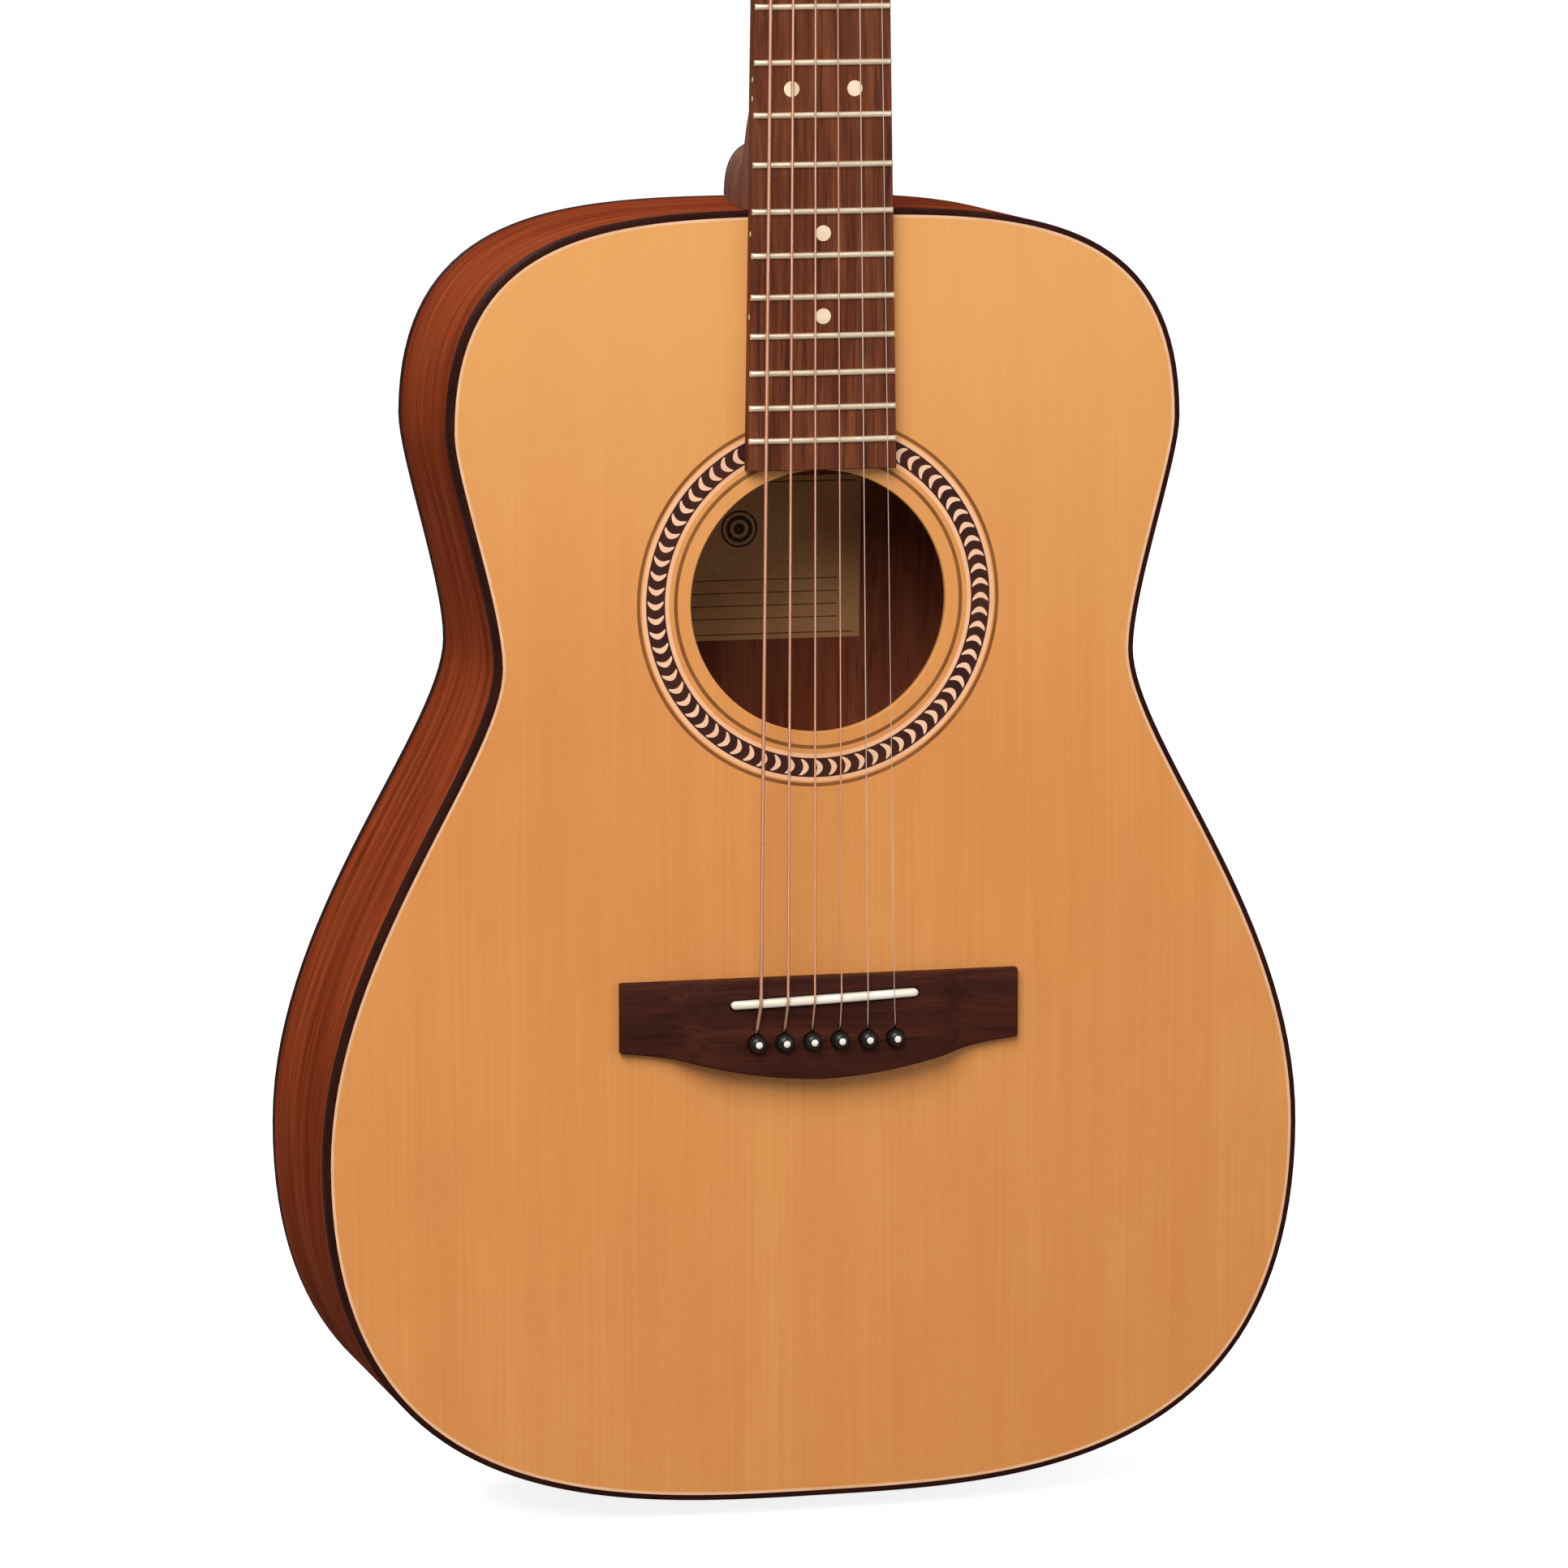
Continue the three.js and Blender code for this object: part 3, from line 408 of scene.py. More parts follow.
def wood(name, vector, dark, mid, light, streaks=90.0, pores=900.0, roughness=0.34, gloss=0.3, coat=0.0,
         pore_colour=None):
    """Open-pored hardwood whose grain runs along the third coordinate of vector(shader)."""
    m = Shader(name, Specular_IOR_Level=gloss, Coat_Weight=coat, Coat_Roughness=0.15)
    v = vector(m)
    x, y, z = m.split(v)
    long_z = m.times(z, 0.06)
    flow = m.noise(m.join(x, y, m.times(z, 0.25)), 11.0, 3.0, 0.5, 0.3)
    wander = m.times(flow, 0.02)
    wx = m.plus(x, wander)
    wy = m.plus(y, wander)
    broad = m.noise(m.join(wx, wy, long_z), streaks, 5.0, 0.62)
    fine = m.noise(m.join(wx, wy, m.times(z, 0.03)), streaks * 5.0, 2.0, 0.6)
    pore = m.noise(m.join(wx, wy, m.times(z, 0.02)), pores, 1.0, 0.4)
    cloud = m.noise(v, 9.0, 2.0)
    colour = m.ramp(broad, (0.3, dark), (0.5, mid), (0.72, light))
    colour = m.tint(colour, dark, fine, 0.4, 0.72, 0.4)
    colour = m.tint(colour, light, cloud, 0.35, 0.7, 0.25)
    cut = m.ramp(pore, (0.6, 0.0), (0.7, 1.0))
    colour = m.mix(m.times(cut, 0.55), colour, pore_colour or dark)
    m.link("Base Color", colour)
    m.link("Roughness", m.ramp(broad, (0.3, roughness + 0.08), (0.7, roughness)))
    height = m.math("SUBTRACT", m.times(broad, 0.4), cut)
    m.bump(height, 0.00006, 0.5)
    return m.material


def from_grain(m):
    return m.attribute("grain")


def upright(m):
    return m.coordinates


def sideways(m):
    x, y, z = m.split(m.coordinates)
    return m.join(z, y, x)


def plastic(name, colour, worn, roughness, gloss, coat):
    """Smooth plastic or sealed inlay with faint mottling and fine handling marks."""
    m = Shader(name, Specular_IOR_Level=gloss, Coat_Weight=coat, Coat_Roughness=0.12)
    mottle = m.noise(m.coordinates, 60.0, 4.0)
    marks = m.noise(m.stretch(m.coordinates, (1.0, 1.0, 0.15)), 1400.0, 2.0)
    m.link("Base Color", m.tint(colour, worn, mottle, 0.3, 0.75, 1.0))
    m.link("Roughness", m.ramp(marks, (0.4, roughness), (0.7, roughness + 0.14)))
    m.bump(marks, 0.00002, 0.25)
    return m.material


def bone(name="bone", light=(248, 243, 232), dark=(232, 220, 196)):
    """Polished bone, or pearl in other colours, with fine streaks."""
    m = Shader(name, Roughness=0.38, Subsurface_Weight=0.06, Subsurface_Scale=0.002)
    streak = m.noise(m.stretch(m.coordinates, (0.3, 1.0, 1.0)), 320.0, 4.0)
    m.link("Base Color", m.ramp(streak, (0.35, srgb(*dark)), (0.65, srgb(*light))))
    m.link("Roughness", m.ramp(streak, (0.3, 0.45), (0.7, 0.3)))
    m.bump(streak, 0.00003, 0.3)
    return m.material


def metal(name, light, dark, roughness, across=(1.0, 1.0, 0.1), metallic=1.0):
    """Polished metal with hairline polishing marks and slightly duller patches."""
    m = Shader(name, Metallic=metallic)
    patch = m.noise(m.coordinates, 40.0, 3.0)
    hair = m.noise(m.stretch(m.coordinates, across), 900.0, 2.0)
    m.link("Base Color", m.tint(light, dark, patch, 0.35, 0.7, 1.0))
    m.link("Roughness", m.ramp(hair, (0.35, roughness), (0.7, roughness + 0.16)))
    m.bump(hair, 0.00001, 0.3)
    return m.material


def wound_string(n):
    """Bronze wrap wire: ridges square to the string's length, which its grain attribute measures, with
    painted shade in the grooves between them.
    """
    m = Shader(f"bronze_string_{n}", Metallic=0.75, Roughness=0.34)
    colour, dark = srgb(255, 204, 174), srgb(206, 146, 116)
    pitch = STRING_DIAMETERS[n - 1] * 0.35
    _, _, along = m.split(m.attribute("grain"))
    wave = m.math("SINE", m.times(along, 2 * pi / (pitch / 1000)))
    height = m.plus(m.times(wave, 0.5), 0.5)
    tarnish = m.noise(m.coordinates, 45.0, 3.0)
    colours = m.tint(colour, dark, tarnish, 0.35, 0.75, 0.6)
    # Painted shade: the colour darkens into the grooves between the wrap's turns, following the same ridge
    # height as the bump.
    m.link("Base Color", m.mix(m.times(height, 0.5), dark, colours))
    m.link("Roughness", m.ramp(tarnish, (0.3, 0.3), (0.7, 0.45)))
    m.bump(height, 0.00006, 0.8)
    return m.material


def paper():
    """Aged tan paper for the label inside the body."""
    m = Shader("label_paper", Roughness=0.8, Specular_IOR_Level=0.2)
    fibre = m.noise(m.coordinates, 700.0, 4.0)
    stain = m.noise(m.coordinates, 26.0, 3.0)
    base = m.ramp(stain, (0.3, srgb(206, 142, 92)), (0.7, srgb(230, 170, 116)))
    m.link("Base Color", m.tint(base, srgb(160, 108, 66), fibre, 0.45, 0.7, 0.25))
    m.bump(fibre, 0.00004, 0.4)
    return m.material


def ink():
    """Dark print on the label, slightly broken by the paper's fibres."""
    m = Shader("label_ink", Roughness=0.7, Specular_IOR_Level=0.2)
    fibre = m.noise(m.coordinates, 900.0, 3.0)
    m.link("Base Color", m.ramp(fibre, (0.35, srgb(52, 36, 26)), (0.7, srgb(98, 70, 48))))
    m.bump(fibre, 0.00003, 0.4)
    return m.material


SPRUCE = spruce_top()
RAW_SPRUCE = raw_spruce()
MAHOGANY_SIDE = wood(
    "mahogany_side", from_grain, srgb(92, 32, 12), srgb(134, 53, 24), srgb(164, 78, 41),
    streaks=120.0, roughness=0.65, gloss=0.01,
)
MAHOGANY_BACK = wood(
    "mahogany_back", upright, srgb(98, 40, 24), srgb(134, 68, 44), srgb(162, 92, 64),
    roughness=0.5, gloss=0.1,
)
MAHOGANY_NECK = wood(
    "mahogany_neck", upright, srgb(88, 44, 30), srgb(120, 70, 50), srgb(146, 92, 68),
    roughness=0.55, gloss=0.15,
)
MAHOGANY_RAW = wood(
    "mahogany_raw", upright, srgb(96, 44, 24), srgb(134, 72, 44), srgb(166, 104, 70),
    roughness=0.7, gloss=0.2,
)
FINGERBOARD = wood(
    "fingerboard_rosewood", upright, srgb(46, 16, 9), srgb(98, 46, 27), srgb(132, 74, 44),
    streaks=260.0, pores=1300.0, roughness=0.55, gloss=0.12, pore_colour=srgb(34, 14, 9),
)
BRIDGE_WOOD = wood(
    "bridge_rosewood", sideways, srgb(42, 16, 10), srgb(62, 26, 17), srgb(82, 38, 25),
    streaks=160.0, pores=1300.0, roughness=0.55, gloss=0.1, pore_colour=srgb(26, 11, 7),
)
HEAD_VENEER = wood(
    "headstock_rosewood", upright, srgb(46, 20, 13), srgb(72, 34, 23), srgb(98, 52, 36),
    streaks=180.0, pores=1300.0, roughness=0.45, gloss=0.2, coat=0.08, pore_colour=srgb(28, 13, 9),
)
BLACK_BINDING = plastic("black_binding", srgb(38, 13, 8), srgb(52, 21, 14), 0.5, 0.05, 0.0)
BLACK_PLASTIC = plastic("black_plastic", srgb(18, 15, 16), srgb(30, 26, 27), 0.3, 0.3, 0.15)
PURFLING_WOOD = plastic("purfling_maple", srgb(234, 188, 148), srgb(222, 170, 128), 0.4, 0.2, 0.0)
ROSETTE_CREAM = plastic("rosette_cream", srgb(244, 188, 146), srgb(234, 172, 126), 0.4, 0.3, 0.0)
CRESCENT_WOOD = plastic("crescent_maple", srgb(246, 200, 168), srgb(236, 184, 148), 0.4, 0.3, 0.0)
ROSETTE_DARK = plastic("rosette_dark", srgb(48, 20, 15), srgb(68, 32, 22), 0.4, 0.2, 0.0)
ROSETTE_BROWN = plastic("rosette_brown", srgb(124, 72, 32), srgb(144, 90, 44), 0.4, 0.2, 0.0)
BONE = bone()
DOT_PEARL = bone("dot_pearl", (250, 226, 196), (236, 204, 170))
NICKEL = metal("fret_nickel", srgb(255, 238, 208), srgb(240, 220, 188), 0.3, (0.1, 1.0, 1.0), 0.7)
CHROME = metal("chrome", srgb(226, 228, 232), srgb(206, 208, 214), 0.12)
STEEL = metal("brushed_steel", srgb(196, 196, 200), srgb(170, 170, 176), 0.3)
PLAIN_STRING = metal("plain_steel_string", srgb(250, 226, 212), srgb(230, 202, 188), 0.3, metallic=0.7)
BRONZE_STRINGS = {n: wound_string(n) for n in WOUND_STRINGS}
PAPER = paper()
INK = ink()

# ---- Body outline ----

HALF_CURVES = (
    ((0, TAIL_Z), (TAIL_HANDLE, TAIL_Z), (LOWER_BOUT[0], LOWER_BOUT[1] - 133.7), LOWER_BOUT),
    (LOWER_BOUT, (LOWER_BOUT[0], LOWER_BOUT[1] + 79.2), (WAIST[0], WAIST[1] - 35.5), WAIST),
    (WAIST, (WAIST[0], WAIST[1] + 22.5), (UPPER_BOUT[0], UPPER_BOUT[1] - 16.2), UPPER_BOUT),
    (UPPER_BOUT, (UPPER_BOUT[0], UPPER_BOUT[1] + 78.7), (71, SHOULDER_Z), (0, SHOULDER_Z)),
)
CURVE_STEPS = (48, 30, 16, 36)


def bezier(corners, t):
    p = [Vector(c) for c in corners]
    u = 1 - t
    point = p[0] * u**3 + p[1] * 3 * u * u * t + p[2] * 3 * u * t * t + p[3] * t**3
    along = (p[1] - p[0]) * 3 * u * u + (p[2] - p[1]) * 6 * u * t + (p[3] - p[2]) * 3 * t * t
    return point, along.normalized()


def half_outline(inset):
    """Treble half of the outline, tail to shoulder, set in from the outside of the binding."""
    push = BINDING_WIDTH - inset
    points = []
    for k, corners in enumerate(HALF_CURVES):
        for i in range(0 if k == 0 else 1, CURVE_STEPS[k] + 1):
            point, along = bezier(corners, i / CURVE_STEPS[k])
            points.append((point.x + along.y * push, point.y - along.x * push))
    points[0] = (0.0, points[0][1])
    points[-1] = (0.0, points[-1][1])
    return points


def full_outline(inset):
    half = half_outline(inset)
    return half + [(-x, z) for x, z in half[-2:0:-1]]


def back_y(x, z):
    return BODY_DEPTH - DEPTH_TAPER * z - x * x / (2 * BACK_RADIUS)


def inside_back(x, z):
    return back_y(x, z) - BACK_THICKNESS


def arc_lengths(points):
    total, lengths = 0.0, [0.0]
    for (x0, z0), (x1, z1) in zip(points, points[1:]):
        total += hypot(x1 - x0, z1 - z0)
        lengths.append(total)
    return lengths


def sweep(profile, half=0):
    """A band along the outline. The profile is (inset, depth) points, where a depth may depend on (x, z).

    half is 0 for the whole loop, or +1 or -1 for the treble or bass side only. Returns the shape and
    the grain coordinates (inset, depth, distance along the outline) of each vertex."""
    rows, grain = [], []
    outlines = [half_outline(inset) if half else full_outline(inset) for inset, _ in profile]
    lengths = arc_lengths(outlines[0])
    for i in range(len(outlines[0])):
        row = []
        for (inset, depth), outline in zip(profile, outlines):
            x, z = outline[i]
            x = x * half if half else x
            y = depth(x, z) if callable(depth) else depth
            row.append((x, y, z))
            grain.append((inset, y, lengths[i] * (half or 1)))
        rows.append(row)
    return loft(rows, ring=not half), grain


ROUND_EDGE = [(cos(pi / 8 * k), sin(pi / 8 * k)) for k in range(5)]


def rounded_corner(face, radius, inward):
    """Profile points of a rounded outer corner, from the side's face to the plate's own."""
    points = []
    for c, s in ROUND_EDGE:
        lower = radius * (1 - s)
        points.append((radius * (1 - c), lambda x, z, lower=lower: face(x, z) + inward * lower))
    return points


# ---- Top, bindings, sides and back ----


def build_top():
    """The spruce lies in rings between the rosette's inlays, with a softened lip at the sound hole."""
    hole = circle(HOLE_RADIUS + HOLE_LIP[0][0], 0, HOLE_Z, HOLE_SIDES)
    inner = full_outline(BINDING_WIDTH + PURFLING)
    cuts = [BROWN_LINES[0], (CREAM_LINES[0][0], CREAM_LINES[1][1]), BROWN_LINES[1]]
    edges = [hole] + [circle(r, 0, HOLE_Z, RING_SIDES) for span in cuts for r in span] + [inner]
    rings = [plate([outside, inside], 0, TOP_THICKNESS) for inside, outside in zip(edges[::2], edges[1::2])]
    lip = []
    for c, s in circle(1.0, count=HOLE_SIDES):
        lip.append([((HOLE_RADIUS + r) * c, y, HOLE_Z + (HOLE_RADIUS + r) * s) for r, y in HOLE_LIP])
    shape = merge(*rings, loft(lip, ring=True))
    piece("soundboard_spruce", shape, SPRUCE, nodes=["soundboard"], smooth=50)


def front_y(x, z):
    return 0.0


def build_binding(name, node, face, inward):
    """A binding in the corner of a face; its depth grows by the inward sign."""
    def inner_edge(x, z):
        return face(x, z) + inward * BINDING_HEIGHT

    corner = rounded_corner(face, 0.9, inward)
    shape, _ = sweep([(0, inner_edge), *corner, (BINDING_WIDTH, face), (BINDING_WIDTH, inner_edge)])
    piece(name, shape, BLACK_BINDING, nodes=[node])


def build_bindings():
    build_binding("front_binding", "top_binding", front_y, 1)
    inner = BINDING_WIDTH + PURFLING
    depth = 2.0
    shape, _ = sweep([(BINDING_WIDTH, depth), (BINDING_WIDTH, -HAIR), (inner, -HAIR), (inner, depth)])
    piece("front_purfling", shape, PURFLING_WOOD)
    build_binding("rear_binding", "back_binding", back_y, -1)


def build_sides():
    def rear_edge(x, z):
        return back_y(x, z) - BINDING_HEIGHT

    setback = 0.05
    outer = [(setback, BINDING_HEIGHT), (setback, rear_edge)]
    profile = outer + [(SIDE_THICKNESS, rear_edge), (SIDE_THICKNESS, BINDING_HEIGHT)]
    for sign, node in ((-1, "bass_side"), (1, "treble_side")):
        shape, grain = sweep(profile, sign)
        piece(f"{node}_mahogany", shape, MAHOGANY_SIDE, nodes=[node], grain=grain)


def build_back():
    """The arched back: rows across the outline, each bent to the back's radius."""
    columns = 24
    sections = []
    for x, z in half_outline(BINDING_WIDTH):
        reach = max(x, 0.02)
        across = [lerp(-reach, reach, k / columns) for k in range(columns + 1)]
        outside = [(u, back_y(u, z), z) for u in across]
        inside = [(u, inside_back(u, z), z) for u in reversed(across)]
        sections.append(outside + inside)
    piece("back_mahogany", loft(sections), MAHOGANY_BACK, nodes=["back"], smooth=30)


def flat_ring(inner, outer):
    outlines = [circle(r, 0, HOLE_Z, RING_SIDES) for r in (outer, inner)]
    return plate(outlines, -0.01, 1.2)


def build_rosette():
    for name, material, spans, nodes in (
        ("rosette_rings_brown", ROSETTE_BROWN, BROWN_LINES, ()),
        ("rosette_rings_cream", ROSETTE_CREAM, CREAM_LINES, ()),
        ("rosette_band", ROSETTE_DARK, (CRESCENT_BAND,), ["rosette"]),
    ):
        rings = [flat_ring(*span) for span in spans]
        piece(name, merge(*rings), material, nodes=nodes)
    tiles = [crescent(2 * pi * k / CRESCENTS) for k in range(CRESCENTS)]
    piece("rosette_crescents", merge(*tiles), CRESCENT_WOOD)


def crescent(angle):
    """One crescent of the rosette, bulging counter-clockwise, at its angle round the hole."""
    inner, outer = CRESCENT_BAND[0] + 0.6, CRESCENT_BAND[1] - 0.6
    middle, steps = (inner + outer) / 2, 10
    lead, tail = [], []
    for i in range(steps + 1):
        s = 2 * i / steps - 1
        r = lerp(inner, outer, (s + 1) / 2)
        arch = cos(pi / 2 * s * 0.97)
        lead.append((r, -1.2 + 2.8 * arch**0.7))
        tail.append((r, -1.9 + 1.4 * arch))
    loop = []
    for r, offset in lead + tail[::-1]:
        a = angle + offset / middle
        loop.append((r * cos(a), HOLE_Z + r * sin(a)))
    return plate([loop], -0.03, 1.0)


# ---- Bridge, saddle and pins ----

BRIDGE = {"half": 76.8, "top": 3.0, "end": -23.4, "middle": -35.2, "height": 9.0, "wing": 3.4, "round": 0.7}
PIN_HOLE = [(3.7, 20), (3.7, 9.0), (2.75, 7.8), (2.75, -5)]
SADDLE = {"half": 36.0, "thickness": 3.0, "z": -4.8, "slant": radians(1.75), "crown": 12.0}


def pin_x(n):
    return STRINGS_X + (MIDDLE_STRING - n) * PIN_PITCH


def bezier_y(corners, x):
    """The height of a curve with increasing x, found by bisection."""
    low, high = 0.0, 1.0
    for _ in range(30):
        middle = (low + high) / 2
        if bezier(corners, middle)[0].x < x:
            low = middle
        else:
            high = middle
    return bezier(corners, low)[0].y


def bridge_bottom(x):
    middle, end = BRIDGE["middle"], BRIDGE["end"]
    belly = ((0, middle), (38, middle + 1.3), (46, end - 2.6), (BRIDGE["half"], end))
    return bezier_y(belly, abs(x))


def bridge_height(x):
    """Full height in the middle, with a smooth fall on each side to the thin wings."""
    high, wing = BRIDGE["height"], BRIDGE["wing"]
    fall = ((42, high), (50, high), (52, wing), (62, wing))
    x = abs(x)
    if x <= fall[0][0]:
        return high
    if x >= fall[-1][0]:
        return wing
    return bezier_y(fall, x)


def bridge_row(x, grow):
    """Section across the bridge at x; grow is under 1 where its end is rounded."""
    r = BRIDGE["round"]
    ease = r * (1 - grow)
    low = bridge_bottom(x) + ease
    high = BRIDGE["top"] - ease
    h = bridge_height(x) - ease
    corner = [(-(h - r + r * s), r * (1 - c)) for c, s in ROUND_EDGE]
    row = [(x, -HAIR, high), (x, -HAIR, low)]
    row += [(x, y, low + d) for y, d in corner]
    return row + [(x, y, high - d) for y, d in reversed(corner)]


def build_bridge():
    r, edge = BRIDGE["round"], BRIDGE["half"]
    left = [(-edge + r * (1 - cos(a)), sin(a)) for a in np.linspace(0, pi / 2, 6)]
    middle = [(x, 1.0) for x in np.linspace(-edge + r + 1, edge - r - 1, 120)]
    right = [(-x, grow) for x, grow in reversed(left)]
    shape = loft([bridge_row(x, grow) for x, grow in left + middle + right])
    obj = piece("bridge_rosewood", shape, BRIDGE_WOOD, nodes=["bridge"], smooth=35)
    tools = [scratch(saddle_slab(0.7, -3.45, -20))]
    for n in STRING_NUMBERS:
        tools.append(scratch(lathe(PIN_HOLE, axis_y(pin_x(n), PIN_Z, -1), 32)))
        tools.append(scratch(string_notch(n)))
    boolean(obj, "DIFFERENCE", tools, 35)


def string_notch(n):
    """The little ramp in front of a pin hole that leads the string out towards the saddle."""
    half = STRING_DIAMETERS[n - 1] / 2 + 0.35
    x = pin_x(n)
    rows = []
    for z, depth in ((PIN_Z, 1), (PIN_Z + 4.6, 1), (PIN_Z + 5.4, 8.2), (PIN_Z + 6.6, 9.3)):
        rows.append([(x - half, -20, z), (x + half, -20, z), (x + half, -depth, z), (x - half, -depth, z)])
    return loft(rows)


def turn_saddle(x, y, z):
    c, s = cos(SADDLE["slant"]), sin(SADDLE["slant"])
    return (x * c - z * s, y, SADDLE["z"] + z * c + x * s)


def saddle_slab(gap, y0, y1):
    """The saddle's plan with a gap round it, as a slab that cuts its slot in the bridge."""
    half, t = SADDLE["half"] + gap, SADDLE["thickness"] / 2 + gap
    ends = [(half - t + t * sin(a), t * cos(a)) for a in np.linspace(0, pi / 2, 9)]
    outline = ends + [(x, -z) for x, z in ends[::-1][1:]]
    outline += [(-x, z) for x, z in outline[::-1]]
    outline = [turn_saddle(x, 0, z)[::2] for x, z in outline]
    return plate([outline], y1, y0)


def build_saddle():
    """Slanted, with rounded ends and a crown that repeats the fretboard's curve."""
    half, t = SADDLE["half"], SADDLE["thickness"] / 2
    left = [-half + t * (1 - cos(a)) for a in np.linspace(0.15, pi / 2, 8)]
    middle = np.linspace(-half + t + 1, half - t - 1, 57)
    sections = []
    for x in [*left, *middle, *(-x for x in reversed(left))]:
        cut = max(abs(x) - (half - t), 0.0)
        w = sqrt(t * t - cut * cut)
        top = -SADDLE["crown"] + x * x / (2 * BOARD_RADIUS) + (1 - w / t) * 0.5
        row = [turn_saddle(x, -3.6, w), turn_saddle(x, -3.6, -w)]
        row += [turn_saddle(x, top + w * 0.7 * (1 - sin(a)), -w * cos(a)) for a in np.linspace(0, pi, 11)]
        sections.append(row)
    piece("saddle_bone", loft(sections), BONE, nodes=["saddle"], smooth=50)


def build_pins():
    profile = [
        (0.0, -11.5), (1.9, -11.5), (2.2, -11.0), (2.5, 8.6), (2.6, 9.2), (3.3, 9.35), (3.4, 9.7),
        (3.4, 10.9), (3.25, 11.5), (2.85, 12.2), (2.2, 12.8), (1.3, 13.15), (0.0, 13.25),
    ]
    dot = [(0.0, 12.6), (1.25, 12.6), (1.3, 13.2), (1.1, 13.42), (0.6, 13.52), (0.0, 13.55)]
    for n in STRING_NUMBERS:
        at = axis_y(pin_x(n), PIN_Z, -1)
        piece(f"pin_{n}", lathe(profile, at), BLACK_PLASTIC, nodes=[f"bridge_pin_{n}"])
        piece(f"pin_dot_{n}", lathe(dot, at, 20), BONE)


# ---- Fretboard, frets, dots and nut ----


def fret_z(n):
    return SCALE_LENGTH * 2 ** (-n / 12)


def board_half(z):
    t = (SCALE_LENGTH - z) / (SCALE_LENGTH - BOARD_END_Z)
    return lerp(NUT_WIDTH, BOARD_END_WIDTH, t) / 2


def board_top(x):
    return -BOARD_THICKNESS + x * x / (2 * BOARD_RADIUS)


def fret_middle(n):
    return (fret_z(n) + fret_z(n - 1)) / 2


def build_fretboard():
    r, end_drop = 0.45, 0.35
    corner = [(r * (1 - cos(a)), r * (1 - sin(a))) for a in (0, 0.5, 1.1)]
    sections = []
    for z in [BOARD_END_Z, BOARD_END_Z + end_drop, *np.linspace(BOARD_END_Z + 12, SCALE_LENGTH - GLUE, 40)]:
        half = board_half(z)
        drop = end_drop if z == BOARD_END_Z else 0.0
        side = board_top(half) + drop
        row = [(-half, -HAIR, z)]
        row += [(-half + a, side + b, z) for a, b in corner]
        row += [(u * (half - r), board_top(u * half) + drop, z) for u in np.linspace(-1, 1, 17)]
        row += [(half - a, side + b, z) for a, b in reversed(corner)]
        row.append((half, -HAIR, z))
        sections.append(row)
    piece("fretboard_rosewood", loft(sections), FINGERBOARD, nodes=["fretboard"], smooth=30)
    for n in range(1, FRETS + 1):
        build_fret(n)
    marks = [(n, 0.0) for n in (3, 5, 7, 9, 15, 17)]
    dots = [board_dot(x, fret_middle(n)) for n, x in [*marks, (12, -12.0), (12, 12.0)]]
    piece("position_dots", merge(*dots), DOT_PEARL)
    side_dots = [side_dot(fret_middle(n) + shift) for n, shift in [*marks, (12, -3.5), (12, 3.5)]]
    piece("side_dots", merge(*side_dots), DOT_PEARL)


def board_dot(cx, cz, radius=2.9):
    """An inlaid dot that follows the board's crown and stands just proud of it."""
    rows = []
    for r, y in ((radius, 0.8), (radius, -0.02), (radius * 0.9, -0.05), (0.01, -0.05)):
        rows.append([(x, board_top(x) + y, z) for x, z in circle(r, cx, cz, 32)])
    return loft(rows)


def side_dot(z):
    half = board_half(z)
    profile = [(0.0, -0.6), (1.0, -0.6), (1.0, 0.02), (0.8, 0.05), (0.0, 0.05)]
    return lathe(profile, lambda x, y, h: (-half - h, -3.6 + x, z + y), 16)


def build_fret(n):
    """A crowned fret that follows the board's curve and tapers at its ends."""
    z0 = fret_z(n)
    half = board_half(z0) - 0.05
    sections = []
    for u in [-1, -0.985, *np.linspace(-0.96, 0.96, 15), 0.985, 1]:
        x = u * half
        grow = 1.0 if abs(u) < 0.97 else (0.82 if abs(u) < 0.99 else 0.3)
        seat = board_top(x)
        crown = [
            (x, seat - FRET_HEIGHT * grow * sin(a) ** 0.8, z0 + FRET_WIDTH / 2 * cos(a))
            for a in np.linspace(0, pi, 9)
        ]
        sections.append([(x, seat + 0.3, z0 - 0.3), (x, seat + 0.3, z0 + 0.3)] + crown)
    piece(f"fret_{n}", loft(sections), NICKEL, smooth=60)


# ---- Strings and nut ----

NUT_HALF_SPAN = 17.6
SADDLE_HALF_SPAN = 25.8
GROOVE_RADIUS = 2.5
COIL_TURNS = (4.5, 4.0, 3.5, 3.0, 2.5, 2.0)


def string_radius(n):
    return STRING_DIAMETERS[n - 1] / 2


def spread(n, half_span):
    """Place of a string across its set, whose outer strings lie at plus and minus half_span."""
    return (MIDDLE_STRING - n) / (MIDDLE_STRING - 1) * half_span


def nut_x(n):
    return spread(n, NUT_HALF_SPAN)


def nut_y(n):
    return board_top(nut_x(n)) - FRET_HEIGHT - 0.45 - string_radius(n)


def post_place(n):
    """Side of the headstock (+1 treble, -1 bass), and the post's place on it, for string n."""
    sign = 1 if n <= 3 else -1
    x, v = POSTS[n - 1 if n <= 3 else 6 - n]
    return sign, sign * x, v


def coil_start(n):
    """Depth at which a string reaches its post: its turns then fill the post's groove."""
    return -7.0 - COIL_TURNS[n - 1] * STRING_DIAMETERS[n - 1] / 2


